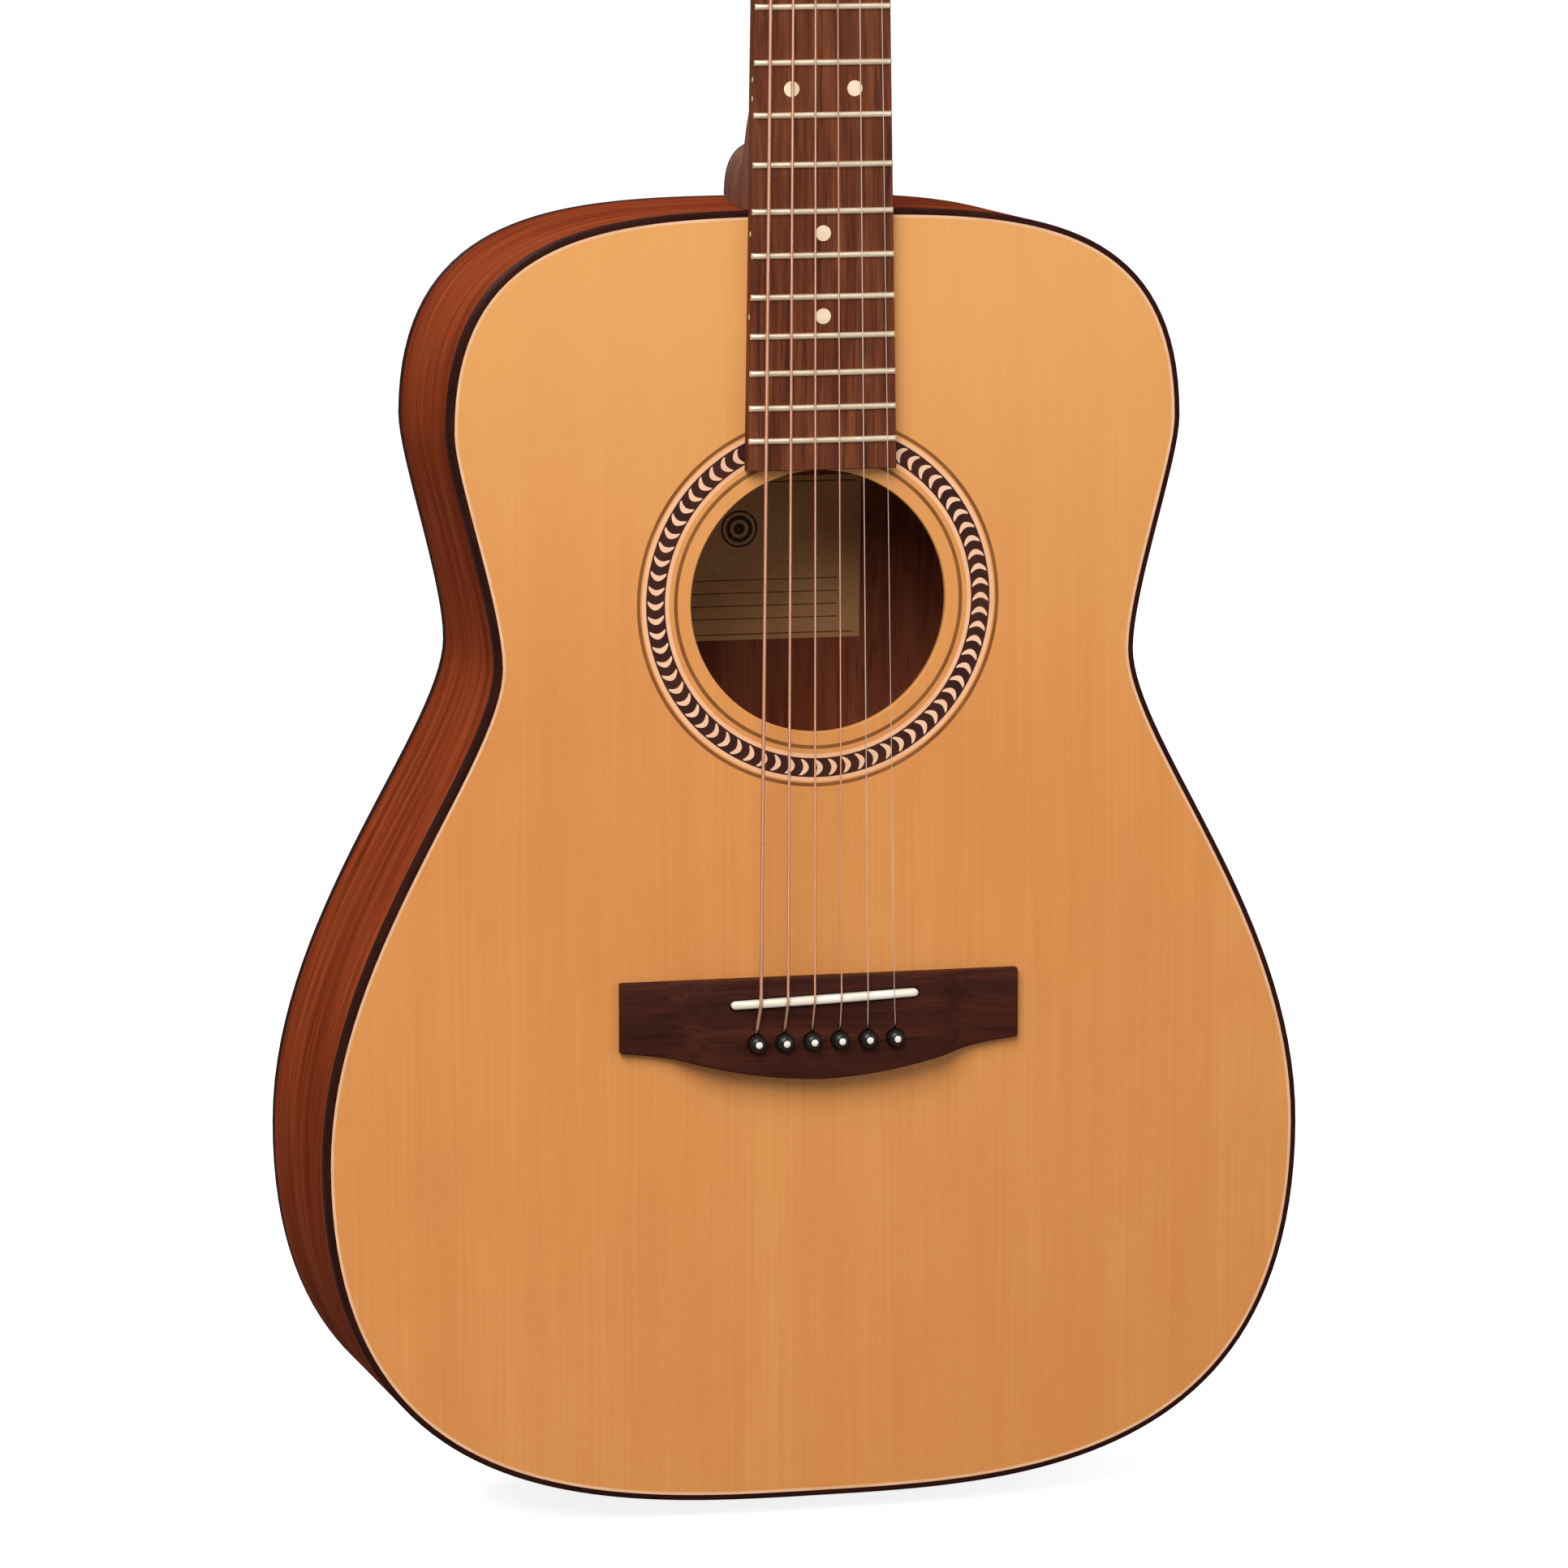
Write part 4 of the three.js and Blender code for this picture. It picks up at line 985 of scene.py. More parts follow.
def rounded_path(corners, reach, steps=5):
    """A path through corners, each turned into a short curve that starts the given reach away from it."""
    path = [Vector(corners[0])]
    for before, at, after in zip(corners, corners[1:], corners[2:]):
        at = Vector(at)
        into, out = Vector(before) - at, Vector(after) - at
        a = at + into.normalized() * min(reach, into.length * 0.45)
        b = at + out.normalized() * min(reach, out.length * 0.45)
        for k in range(steps + 1):
            t = k / steps
            path.append(a * (1 - t) ** 2 + at * 2 * t * (1 - t) + b * t * t)
    path.append(Vector(corners[-1]))
    return path


def string_path(n):
    """A string's line from its pin hole over the saddle and nut to its post."""
    r = string_radius(n)
    sign, x, v = post_place(n)
    slot_z = PIN_Z + 4.4
    at_saddle = STRINGS_X + spread(n, SADDLE_HALF_SPAN)
    over = -SADDLE["crown"] + at_saddle**2 / (2 * BOARD_RADIUS) - r
    saddle_z = SADDLE["z"] + at_saddle * tan(SADDLE["slant"])
    beside = x - sign * (GROOVE_RADIUS + r)
    corners = [
        (pin_x(n), 7.0, slot_z - 1.2),
        (pin_x(n), -7.9, slot_z - 0.6),
        (pin_x(n), -9.1 - r, slot_z + 1.0),
        (at_saddle, over, saddle_z),
        (nut_x(n), nut_y(n), SCALE_LENGTH + 0.5),
        in_head(beside, coil_start(n), v),
    ]
    return rounded_path(corners, 0.9)


def wire_piece(name, path, n, body, nodes=()):
    """A length of string n, with the distance along it as grain for its wrap pattern."""
    sides = 10
    lengths = [0.0]
    for p, q in zip(path, path[1:]):
        lengths.append(lengths[-1] + (Vector(q) - Vector(p)).length)
    grain = [(0.0, 0.0, length) for length in lengths for _ in range(sides)]
    wound = n in BRONZE_STRINGS
    material = BRONZE_STRINGS[n] if wound else PLAIN_STRING
    piece(name, tube(path, string_radius(n), sides), material, body, nodes, 60, grain=grain)


def build_strings():
    for n in STRING_NUMBERS:
        path = string_path(n)
        # Long spans get extra points so that the wrap pattern stays regular along them.
        fine = [path[0]]
        for p, q in zip(path, path[1:]):
            cuts = max(1, int((q - p).length / 12))
            fine += [p.lerp(q, (k + 1) / cuts) for k in range(cuts)]
        wire_piece(f"string_wire_{n}", fine, n, "guitar", [f"string_{n}"])
        wire_piece(f"string_coil_{n}", coil_path(n), n, f"post_{n}")


def coil_path(n):
    """The turns round the post, from where the string meets it to its end in the post's hole."""
    sign, x, v = post_place(n)
    ring = GROOVE_RADIUS + string_radius(n)
    start = pi if sign > 0 else 0.0
    turns = COIL_TURNS[n - 1]
    count = int(turns * 28)
    points = []
    for k in range(count + 1):
        a = start - sign * 2 * pi * turns * k / count
        depth = coil_start(n) + turns * (STRING_DIAMETERS[n - 1] + 0.02) * k / count
        points.append(Vector(in_head(x + ring * cos(a), depth, v + ring * sin(a))))
    a = start - sign * 2 * pi * turns
    points.append(Vector(in_head(x + 0.4 * cos(a), depth, v + 0.4 * sin(a))))
    return points


def build_nut():
    """Crowned like the board, sloping down towards the headstock, with a slot for each string."""
    half = NUT_WIDTH / 2
    z0, z1 = SCALE_LENGTH + GLUE, SCALE_LENGTH + NUT_THICKNESS
    crown = [(0.4, z0), (0.1, z0 + 0.12), (0, z0 + 0.4), (0.35, z0 + 2.6)]
    crown += [(0.9, z1 - 1.0), (1.5, z1 - 0.25), (2.2, z1)]
    sections = []
    for x in [-half, -half + 0.3, *np.linspace(-half + 0.8, half - 0.8, 23), half - 0.3, half]:
        ease = 0.5 if abs(x) == half else (0.15 if abs(x) == half - 0.3 else 0.0)
        top = board_top(x) - 2.2 + ease
        sections.append([(x, -0.15, z0), *((x, top + y, z) for y, z in crown), (x, -0.15, z1)])
    obj = piece("nut_bone", loft(sections), BONE, nodes=["nut"], smooth=45)
    boolean(obj, "DIFFERENCE", [scratch(nut_slot(n)) for n in STRING_NUMBERS], 45)


def nut_slot(n):
    """A round-bottomed slot that follows a string from the fretboard down towards its post."""
    over, post = Vector((nut_x(n), nut_y(n), SCALE_LENGTH + 0.5)), string_path(n)[-1]
    board = over - Vector((0, 0, 1))
    back = over + (post - over).normalized() * 9
    r = string_radius(n) + 0.12
    outline = [(r * cos(a), r * sin(a)) for a in np.linspace(0, pi, 7)] + [(-r, -5), (r, -5)]
    return loft([[(p.x + a, p.y + b, p.z) for a, b in outline] for p in (board, over, back)])


# ---- Neck, heel and headstock ----

BODY_FACE = SHOULDER_Z + BINDING_WIDTH + GLUE
HEEL_CAP = 2.2
HEEL_WIDTHS = (54.0, 27.0)  # under the shaft, and at the cap
HEAD_LENGTH = 178.0
HEAD_HALVES = (21.5, 30.0)  # half widths at the nut, and where the shoulders end
HEAD_FLARE = 3.5  # how much further each side spreads up to the crest
HEAD_THICKNESS = 14.0
HEAD_JOIN = 30.0  # where the shaft's rounded section has become the headstock's flat one
VENEER = 2.1
COVER_FRONT = -4.3
COVER_BACK = -2.2
POST_HOLE_RADIUS = 3.4
NECK_STEPS = 32


def neck_section(half, depth, power, to):
    """Half of a rounded section below the y = 0 face; power 2 is an ellipse, higher powers are squarer."""
    row = []
    for i in range(NECK_STEPS + 1):
        a = pi * i / NECK_STEPS
        x = copysign(half * abs(cos(a)) ** (2 / power), cos(a))
        row.append(to(x, depth * sin(a) ** (2 / power)))
    return row


def head_half(v):
    return lerp(*HEAD_HALVES, smoothstep((v - 2) / 24)) + HEAD_FLARE * v / HEAD_LENGTH


def catmull(sections, steps):
    """More sections on a smooth curve through the given ones."""
    data = [np.array(s, float) for s in sections]
    data = [2 * data[0] - data[1], *data, 2 * data[-1] - data[-2]]
    rows = []
    for p0, p1, p2, p3 in zip(data, data[1:], data[2:], data[3:]):
        square = 2 * p0 - 5 * p1 + 4 * p2 - p3
        cubic = 3 * p1 - p0 - 3 * p2 + p3
        for k in range(steps):
            t = k / steps
            rows.append(0.5 * (2 * p1 + (p2 - p0) * t + square * t**2 + cubic * t**3))
    rows.append(data[-2])
    return [[tuple(p) for p in row] for row in rows]


def neck_shaft():
    """The neck's shaft, blended from its round section into the headstock's flat one."""
    sections = []
    for z in (BODY_FACE, 380, 480, 560, 610, 630, SCALE_LENGTH - 6):
        depth = lerp(16.5, 14.5, (z - BODY_FACE) / (SCALE_LENGTH - BODY_FACE))
        sections.append(neck_section(board_half(z), depth, 2.0, lambda x, y, z=z: (x, y, z)))
    for v in (2, 8, 15, 22, HEAD_JOIN, HEAD_JOIN + 6):
        power = lerp(2.2, 14, smoothstep(v / HEAD_JOIN))
        depth = lerp(11.5, HEAD_THICKNESS, min(v / 24, 1.0))
        sections.append(neck_section(head_half(v), depth, power, lambda x, y, v=v: in_head(x, y, v)))
    return loft(catmull(sections, 5))


def heel_section(y):
    """Outline of the heel at a depth: narrower and shorter towards the back, flared under the shaft."""
    cap_y = back_y(0, BODY_FACE)
    t = y / cap_y
    half = lerp(*HEEL_WIDTHS, t**1.5) / 2
    reach = 20.0 + 4 * (1 - t) + 40.0 * exp(-max(y - 12, 0) / 9)
    return neck_section(half, reach, 2.5, lambda x, z: (x, y, BODY_FACE + z))


def head_outline(start):
    """The headstock's plan from its shoulders to its crest, as (x, v) points running round it."""
    top = HEAD_LENGTH
    right = [(head_half(v), v) for v in np.linspace(start, top - 12, 24)]
    corner = np.linspace(0.2, pi / 2, 8)
    right += [(33.3 - 11 * (1 - cos(a)), top - 12 + 11.2 * sin(a)) for a in corner]
    right += [(x, top - 4 + 3.2 * (x / 22.3) ** 2) for x in np.linspace(20, 0, 9)]
    return right + [(-x, v) for x, v in reversed(right[:-1])]


def offset_loop(loop, inset):
    """A closed loop moved inwards by the inset, along each corner's own bisector."""
    if not inset:
        return loop
    area = sum(x0 * z1 - x1 * z0 for (x0, z0), (x1, z1) in zip(loop, loop[1:] + loop[:1]))
    turn = 1 if area > 0 else -1
    moved = []
    for i, p in enumerate(loop):
        a, b = Vector(loop[i - 1]), Vector(loop[(i + 1) % len(loop)])
        along = (b - a).normalized()
        moved.append((p[0] - turn * along.y * inset, p[1] + turn * along.x * inset))
    return moved


def rounded_plate(loop, y0, y1, front=0.0, back=0.0):
    """A plate between two depths whose front and back edges are rounded by the given radii."""
    levels = [(front * (1 - s), y0 + front * (1 - c)) for c, s in ROUND_EDGE] if front else [(0.0, y0)]
    levels += [(back * (1 - c), y1 - back * (1 - s)) for c, s in ROUND_EDGE] if back else [(0.0, y1)]
    rows = [[(x, y, z) for x, z in offset_loop(loop, inset)] for inset, y in levels]
    verts, faces = loft(rows, caps=False)
    count = len(loop)
    for start, flip in ((0, False), ((len(rows) - 1) * count, True)):
        ring = [Vector((v[0], v[2], 0)) for v in verts[start : start + count]]
        for t in tessellate_polygon([ring]):
            face = tuple(i + start for i in t)
            faces.append(face[::-1] if flip else face)
    return verts, faces


def head_place(x, y, v):
    return place(*in_head(x, y, v))


def box_solid(x0, x1, y0, y1, z0, z1):
    return plate([[(x0, z0), (x1, z0), (x1, z1), (x0, z1)]], y0, y1)


def post_holes(depth):
    """Cutters for the six post holes, down to a depth below the headstock's face."""
    profile = [(0, -5), (POST_HOLE_RADIUS, -5), (POST_HOLE_RADIUS, depth), (0, depth)]
    return [scratch(lathe(profile, axis_y(*post_place(n)[1:])), head_place) for n in STRING_NUMBERS]


def build_neck():
    neck = piece("neck_mahogany", neck_shaft(), MAHOGANY_NECK, nodes=["neck"])
    cap_y = back_y(0, BODY_FACE) - HEEL_CAP
    levels = [0.2, 4, 8, 10, 12, 13, 14.5, 16, 18, 20.5, 23, 26, 30, 35, 42, 52, 64, 78, cap_y]
    heel = scratch(loft([heel_section(y) for y in levels]))
    head = scratch(rounded_plate(head_outline(HEAD_JOIN), 0, HEAD_THICKNESS, 0, 1.2), head_place)
    tenon = scratch(box_solid(-11, 11, 18.5, 66, SHOULDER_Z - 18, BODY_FACE + 5))
    boolean(neck, "UNION", [heel, head, tenon])
    rod_pocket = scratch(box_solid(-4.8, 4.8, -6, 9.8, SCALE_LENGTH + 10.6, 676))
    boolean(neck, "DIFFERENCE", [rod_pocket, *post_holes(20)], 40)
    cap = rounded_plate([p[::2] for p in heel_section(cap_y)], cap_y + 0.05, cap_y + HEEL_CAP, 0, 0.6)
    piece("heel_cap", cap, BLACK_PLASTIC)


def build_head_veneer():
    shoulder = [(21, 2.5), *((head_half(v), v) for v in (6, 10, 14))]
    loop = shoulder + head_outline(18) + [(-x, v) for x, v in reversed(shoulder)]
    shape = rounded_plate(loop, -HAIR - VENEER, -HAIR, 0.5)
    nodes = ["headstock_veneer"]
    veneer = piece("headstock_face", shape, HEAD_VENEER, nodes=nodes, to=head_place)
    rod_slot = scratch(box_solid(-5.2, 5.2, -6, 2, 5, 26), head_place)
    boolean(veneer, "DIFFERENCE", [rod_slot, *post_holes(5)], 40)


def build_rod_cover():
    """The truss rod cover: a waisted plate, hollow over the nut, with three screws."""
    right = [(8.5 - 4.2 * smoothstep(t), 6 + 30 * t) for t in np.linspace(0, 1, 9)]
    crest = [(4.3 * cos(a), 36 + 4.3 * sin(a)) for a in np.linspace(0.3, pi - 0.3, 9)]
    loop = [(-8.5, 4.2), (8.5, 4.2), *right, *crest, *((-x, v) for x, v in reversed(right))]
    shape = rounded_plate(loop, COVER_FRONT, COVER_BACK, 0.7)
    cover = piece("truss_rod_cover", shape, BLACK_PLASTIC, to=head_place)
    boolean(cover, "DIFFERENCE", [scratch(box_solid(-4.4, 4.4, -3.5, 0, 3, 22), head_place)], 40)
    for k, (x, v) in enumerate(((-6.2, 7.4), (6.2, 7.4), (0.0, 37.0))):
        screw(f"cover_screw_{k + 1}", x, v, COVER_FRONT, -1, 1.5)


def screw(name, x, v, y, outward, radius):
    """A small round-headed cross screw on the headstock, its head facing along y by the outward sign."""
    profile = [
        (0.0, 0.3), (radius * 0.96, 0.25), (radius, 0.0), (radius * 0.9, -0.45 * radius),
        (radius * 0.5, -0.7 * radius), (0.0, -0.78 * radius),
    ]
    obj = piece(name, lathe(profile, axis_y(x, v, -outward, y)), CHROME, to=head_place, smooth=50)
    tip = y + outward * radius
    depths = sorted((tip, tip - outward * radius * 0.6))
    w, l = radius * 0.16, radius * 0.62
    cross = [box_solid(x - a, x + a, *depths, v - b, v + b) for a, b in ((w, l), (l, w))]
    boolean(obj, "DIFFERENCE", [scratch(bar, head_place) for bar in cross])


# ---- Tuning machines ----

WORM_DEPTH = 21.0
WORM_OFFSET = 8.4
HOUSING_DEPTHS = (14.3, 27.0)
HOUSING_FOOT = 16.4


def rounded_rectangle(x0, x1, z0, z1, r, steps=5):
    loop = []
    corners = ((x1 - r, z1 - r, 0), (x0 + r, z1 - r, 1), (x0 + r, z0 + r, 2), (x1 - r, z0 + r, 3))
    for cx, cz, quarter in corners:
        for k in range(steps + 1):
            a = pi / 2 * (quarter + k / steps)
            loop.append((cx + r * cos(a), cz + r * sin(a)))
    return loop


POST_PROFILE = [
    (0.0, -12.5), (2.2, -12.5), (2.7, -12.2), (2.95, -11.6), (3.0, -10.6), (2.95, -9.2), (2.7, -8.8),
    (2.5, -8.4), (2.5, -5.4), (2.7, -4.6), (3.0, -4.2), (3.0, 23.0), (0.0, 23.0),
]
BUSHING_PROFILE = [
    (3.25, -2.0), (5.9, -2.15), (6.0, -2.4), (5.9, -2.8), (5.2, -3.0), (4.7, -3.1), (4.6, -4.6), (4.2, -4.9),
    (3.25, -4.9),
]
COLLAR_PROFILE = [(0, 0), (3.0, 0), (3.0, 1.4), (2.8, 1.8), (2.4, 2.1), (2.3, 3.6), (0, 3.6)]
KNOB_SHAFT_PROFILE = [(0, 6), (1.9, 6), (1.9, 13.2), (2.6, 13.6), (2.8, 14.6), (0, 15.2)]
KNOB_SECTIONS = (  # distance out, half width, half thickness
    (13.2, 3.2, 2.6), (13.6, 4.6, 3.1), (14.6, 6.4, 3.5), (17.0, 8.2, 3.6), (20.0, 8.95, 3.9),
    (23.0, 8.8, 4.3), (25.0, 8.0, 4.3), (26.1, 6.6, 3.6), (26.5, 4.4, 2.4),
)


def build_tuner(n):
    """One tuning machine: its post, bushing, housing and knob."""
    sign, x, v = post_place(n)
    at = axis_y(x, v)
    node, shape = f"tuner_post_{n}", lathe(POST_PROFILE, at, 32)
    post = piece(f"{node}_turned", shape, CHROME, f"post_{n}", [node], to=head_place)
    hole = lathe([(0, -4), (0.75, -4), (0.75, 4), (0, 4)], lambda a, b, h: (x + a, -9.9 + b, v + h), 16)
    boolean(post, "DIFFERENCE", [scratch(hole, head_place)], 40)
    bushing = lathe(BUSHING_PROFILE, at, 36, ring=True)
    piece(f"tuner_bushing_{n}", bushing, CHROME, to=head_place, smooth=35)
    build_housing(n, sign, x, v)
    build_knob(n, sign, x, v)


def knob_axis(sign, x, v):
    """For lathe(): the knob's axis, from x out of the headstock's side."""
    return lambda a, b, h: (x + sign * h, WORM_DEPTH + a, v + b)


def build_housing(n, sign, x, v):
    """A closed gear case on a screwed foot, with a collar where the knob's shaft comes out."""
    front, back = HOUSING_DEPTHS
    case = rounded_plate(rounded_rectangle(x - 7.2, x + 7.2, v - 7.2, v + 13, 2.6), front, back, 0, 1.8)
    foot = rounded_rectangle(x - 4.6, x + 4.6, v - 13.4, v - 5, 4.2)
    foot = rounded_plate(foot, front, HOUSING_FOOT, 0, 0.6)
    collar = lathe(COLLAR_PROFILE, knob_axis(sign, x + sign * 6.6, v + WORM_OFFSET - 0.4), 28)
    name = f"tuner_housing_{n}"
    obj = piece(f"{name}_cast", case, CHROME, nodes=[name], to=head_place)
    boolean(obj, "UNION", [scratch(foot, head_place), scratch(collar, head_place)], 40)
    screw(f"tuner_screw_{n}", x, v - 9.8, HOUSING_FOOT, 1, 1.7)


def knob_oval(c, s, wide, thick):
    """A point of the button's section: a slightly squared oval."""
    return copysign(thick * abs(s) ** 0.85, s), copysign(wide * abs(c) ** 0.85, c)


def build_knob(n, sign, x, v):
    """The button on its shaft: a flattened, waisted oval that swells towards its outer end."""
    at = knob_axis(sign, x, v + WORM_OFFSET)
    turns = circle(1.0, count=40)
    rows = [[at(*knob_oval(c, s, wide, thick), h) for c, s in turns] for h, wide, thick in KNOB_SECTIONS]
    node, shape = f"tuner_knob_{n}", merge(lathe(KNOB_SHAFT_PROFILE, at), loft(catmull(rows, 4)))
    piece(f"{node}_cast", shape, CHROME, f"knob_{n}", [node], to=head_place)


# ---- Tail, label and inside of the body ----


def tail_edge(x):
    """Height of the outline's lower edge at a small distance from the centre line."""
    t = abs(x) / (3 * TAIL_HANDLE)
    return bezier(HALF_CURVES[0], t)[0].y - BINDING_WIDTH


def build_tail():
    """The end graft between the sides, and the turned end pin."""
    front, inlaid = BINDING_HEIGHT + HAIR, 1.2
    rows = []
    for x in np.linspace(-7, 7, 9):
        z = tail_edge(x)
        deep = back_y(x, z) - BINDING_HEIGHT - HAIR
        corners = ((front, -HAIR), (deep, -HAIR), (deep, inlaid), (front, inlaid))
        rows.append([(x, y, z + d) for y, d in corners])
    piece("end_graft", loft(rows), BLACK_BINDING)
    profile = [
        (0.0, 0.0), (4.9, 0.0), (5.3, 0.15), (6.5, 0.9), (7.05, 1.5), (7.2, 2.0), (7.1, 2.5), (6.3, 3.3),
        (5.2, 4.1), (4.8, 4.9), (5.0, 5.6), (6.0, 6.4), (7.0, 7.0), (7.2, 7.35), (7.2, 7.75), (4.0, 7.75),
        (3.4, 25.0), (0.0, 25.0),
    ]
    end_y = (BODY_DEPTH - DEPTH_TAPER * TAIL_Z) / 2
    base = TAIL_Z - BINDING_WIDTH - END_PIN_LENGTH
    pin = lathe(profile, lambda a, b, h: (a, end_y + b, base + h), 40)
    piece("end_pin_turned", pin, BLACK_PLASTIC, nodes=["end_pin"])


def build_back_strip():
    half, inlaid = 1.6, 0.4
    corners = ((-half, -inlaid), (-half, HAIR), (half, HAIR), (half, -inlaid))
    rows = []
    for z in np.linspace(TAIL_Z - 0.1, SHOULDER_Z - 0.1, 60):
        rows.append([(x, back_y(0, z) + y, z) for x, y in corners])
    piece("back_strip", loft(rows), ROSETTE_DARK)


LABEL = {"half": 41.0, "bottom": 118.0, "top": 181.0}
PRINT_LIFT = 0.16
PRINT_THICKNESS = 0.02


def on_label(x0, x1, z0, z1, lift=PRINT_LIFT, thickness=PRINT_THICKNESS):
    """A thin rectangle lying on the inside of the back, lifted off it towards the top."""
    corners = ((z0, 0), (z1, 0), (z1, thickness), (z0, thickness))
    rows = []
    for x in np.linspace(x0, x1, 7):
        rows.append([(x, inside_back(x, z) - lift - d, z) for z, d in corners])
    return loft(rows)


def label_mark(inner, outer, centre):
    """A ring printed on the label, its points on the curved inside of the back."""
    rows = []
    for low, high in zip(circle(inner, *centre, 48), circle(outer, *centre, 48)):
        corners = ((low, 0), (high, 0), (high, PRINT_THICKNESS), (low, PRINT_THICKNESS))
        rows.append([(x, inside_back(x, z) - PRINT_LIFT - d, z) for (x, z), d in corners])
    return loft(rows, ring=True)


def build_label():
    half, low, high = LABEL["half"], LABEL["bottom"], LABEL["top"]
    piece("label_paper", on_label(-half, half, low, high, 0.05, 0.1), PAPER)
    marks = [on_label(2 - half, half - 2, z, z + 0.4) for z in (low + 2.0, high - 2.4)]
    marks += [on_label(-32, 32, z, z + 0.35) for z in (126.0, 131.0, 136.0, 141.0)]
    marks += [label_mark(*radii, (-7.0, 161.0)) for radii in ((0.3, 2.2), (3.6, 5.2), (6.4, 7.2))]
    piece("label_print", merge(*marks), INK)


def resampled(points, count):
    """A closed loop of points spaced evenly along its length."""
    loop = np.array(points + points[:1])
    steps = np.hypot(*np.diff(loop, axis=0).T)
    lengths = np.concatenate([[0], np.cumsum(steps)])
    at = np.linspace(0, lengths[-1], count, endpoint=False)
    return np.stack([np.interp(at, lengths, loop[:, 0]), np.interp(at, lengths, loop[:, 1])], 1)


def build_lining(name, seat, inwards, node):
    """A kerfed lining: a triangular strip sawn nearly through every few millimetres so that it bends."""
    kerfs, points_each, toe = 290, 4, 3.0
    outer = resampled(full_outline(SIDE_THICKNESS + GLUE), kerfs * points_each)
    inner = resampled(full_outline(SIDE_THICKNESS + LINING_WIDTH), kerfs * points_each)
    rows = []
    for i, ((x0, z0), (x1, z1)) in enumerate(zip(outer, inner)):
        depth = 0.2 if i % points_each == 0 else 1.0
        x1, z1 = lerp(x0, x1, depth), lerp(z0, z1, depth)
        rows.append([
            (x0, seat(x0, z0) + inwards * GLUE, z0),
            (x0, seat(x0, z0) + inwards * LINING_HEIGHT, z0),
            (x1, seat(x1, z1) + inwards * toe, z1),
            (x1, seat(x1, z1) + inwards * GLUE, z1),
        ])
    piece(name, loft(rows, ring=True), MAHOGANY_RAW, nodes=[node], smooth=20)


def build_inside():
    build_lining("top_lining_kerfed", lambda x, z: TOP_THICKNESS, 1, "top_lining")
    build_lining("back_lining_kerfed", inside_back, -1, "back_lining")
    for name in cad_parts:
        if "brace" in name or "tone_bar" in name:
            repaint(name, RAW_SPRUCE, 0.8)
    for name in ("neck_block", "tail_block"):
        repaint(name, MAHOGANY_RAW, 0.6)
    repaint("bridge_plate", BRIDGE_WOOD, 0.3)
    repaint("truss_rod", STEEL, 0.2)
    repaint("truss_rod_nut", STEEL, 0.3)


def repaint(node, material, edge):
    """A CAD node whose shape is right: it keeps its mesh and gets a material and softened edges."""
    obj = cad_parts[node]
    obj.data.materials.clear()
    obj.data.materials.append(material)
    bevel = obj.modifiers.new("softened_edges", "BEVEL")
    bevel.width = edge / 1000
    bevel.segments = 2
    bevel.limit_method = "ANGLE"
    bevel.angle_limit = radians(40)


# ---- Camera, light and floor ----


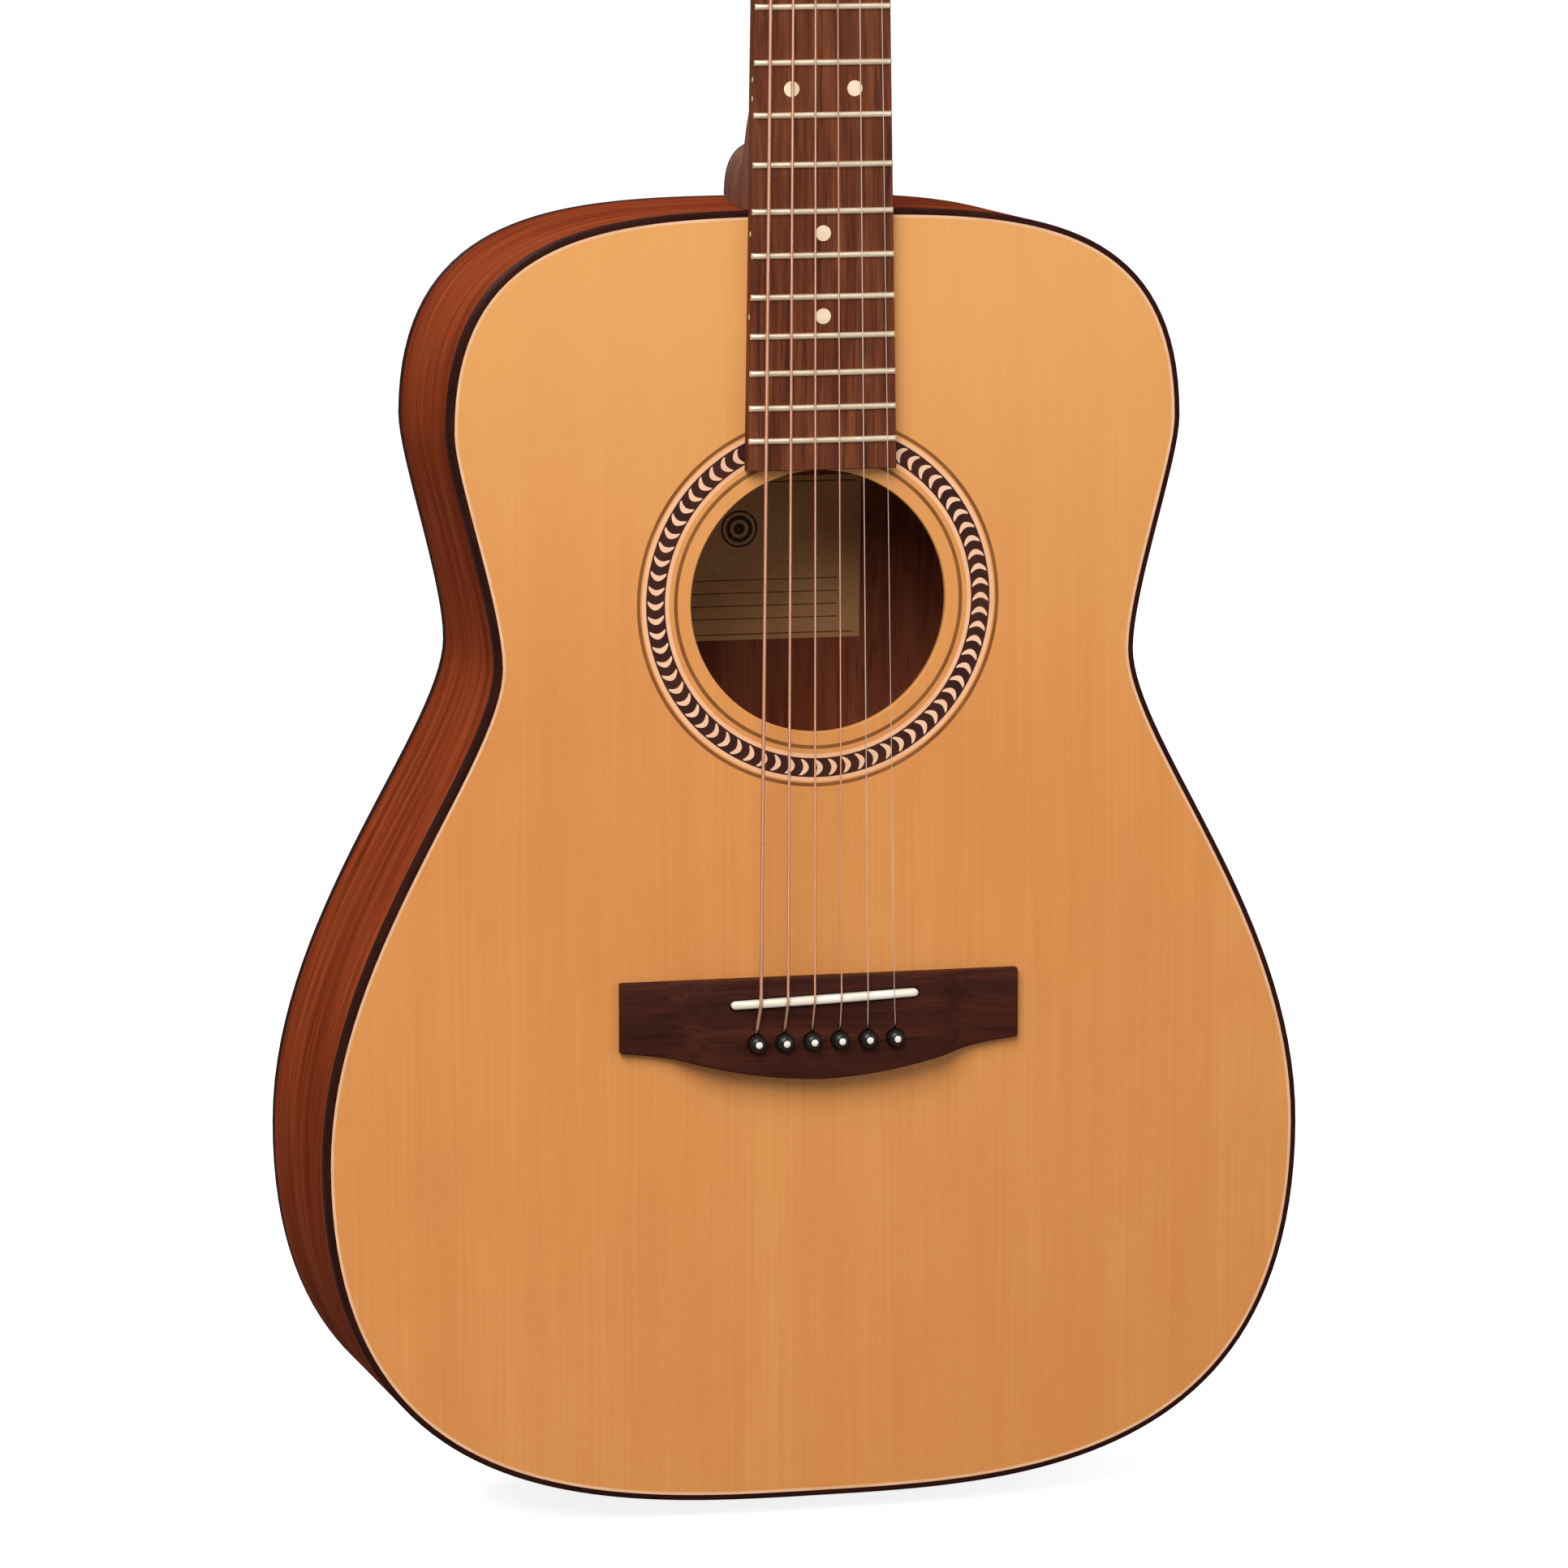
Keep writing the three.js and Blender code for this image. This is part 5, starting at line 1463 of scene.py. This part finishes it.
def build_stage():
    """A seamless floor and backdrop: mid grey for the light it gives, white where it is looked at."""
    size, rise, bend = 9.0, 6.0, 2.0
    profile = [(-size, 0.0), (size - bend, 0.0)]
    profile += [(size - bend + bend * sin(a), bend * (1 - cos(a))) for a in np.linspace(0.1, pi / 2, 16)]
    profile.append((size, rise))
    verts, faces = [], []
    for i, (y, z) in enumerate(profile):
        verts += [(-size, y, z), (size, y, z)]
        if i:
            faces.append((2 * i - 2, 2 * i - 1, 2 * i + 1, 2 * i))
    m = Shader("studio_white", Roughness=0.9, Specular_IOR_Level=0.1)
    grain = m.noise(m.coordinates, 3.0, 2.0)
    looked_at = m.node("ShaderNodeLightPath").outputs["Is Camera Ray"]
    pale = m.ramp(grain, (0.3, (0.86, 0.86, 0.86, 1)), (0.7, (0.9, 0.9, 0.9, 1)))
    m.link("Base Color", m.mix(looked_at, (0.25, 0.25, 0.25, 1), pale))
    m.link("Emission Strength", m.times(looked_at, 0.85))
    m.link("Emission Color", (1, 1, 1, 1))
    mesh = bpy.data.meshes.new("studio_floor")
    mesh.from_pydata(verts, [], faces)
    mesh.materials.append(m.material)
    mesh.polygons.foreach_set("use_smooth", [True] * len(mesh.polygons))
    floor = bpy.data.objects.new("studio_floor", mesh)
    bpy.context.scene.collection.objects.link(floor)
    floor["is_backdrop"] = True


def area_light(name, at, target, size, power):
    light = bpy.data.lights.new(name, "AREA")
    light.shape = "DISK"
    light.size = size
    light.energy = power
    obj = bpy.data.objects.new(name, light)
    obj.location = at
    obj.rotation_euler = (Vector(target) - Vector(at)).to_track_quat("-Z", "Y").to_euler()
    bpy.context.scene.collection.objects.link(obj)


def build_camera():
    azimuth, elevation = radians(14.689), radians(8.067)
    forward = Vector((cos(elevation) * sin(azimuth), cos(elevation) * cos(azimuth), -sin(elevation)))
    camera = bpy.data.cameras.new("camera")
    camera.sensor_width = 36
    camera.lens = 181.5
    camera.clip_end = 60
    obj = bpy.data.objects.new("camera", camera)
    obj.location = place(-751.9, -2817.4, 488.2)
    obj.rotation_euler = forward.to_track_quat("-Z", "Y").to_euler()
    bpy.context.scene.collection.objects.link(obj)
    bpy.context.scene.camera = obj


def build_light():
    scene = bpy.context.scene
    scene.view_settings.view_transform = "Standard"
    world = bpy.data.worlds.new("studio")
    world.use_nodes = True
    tree = world.node_tree
    background = tree.nodes["Background"]
    background.inputs[0].default_value = (1, 1, 1, 1)
    strength = tree.nodes.new("ShaderNodeMapRange")
    tree.links.new(tree.nodes.new("ShaderNodeLightPath").outputs["Is Camera Ray"], strength.inputs["Value"])
    strength.inputs["To Min"].default_value = 0.36  # the light it gives
    strength.inputs["To Max"].default_value = 1.1  # how it looks
    tree.links.new(strength.outputs["Result"], background.inputs[1])
    scene.world = world
    middle = (0, 0, 0.42)
    area_light("key", (-1.0, -1.9, 2.15), middle, 2.3, 88)
    area_light("fill", (2.4, -2.4, 1.0), middle, 2.0, 16)
    area_light("back", (-1.2, 2.4, 2.4), middle, 1.6, 30)


build_camera()
build_light()
build_stage()
build_top()
build_bindings()
build_sides()
build_back()
build_rosette()
build_bridge()
build_saddle()
build_pins()
build_fretboard()
build_nut()
build_strings()
build_neck()
build_head_veneer()
build_rod_cover()
for number in STRING_NUMBERS:
    build_tuner(number)
build_tail()
build_back_strip()
build_label()
build_inside()

"\n".join(str([list(map(float, corner)) for corner in b]) for b in (CAD_BOX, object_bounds()))
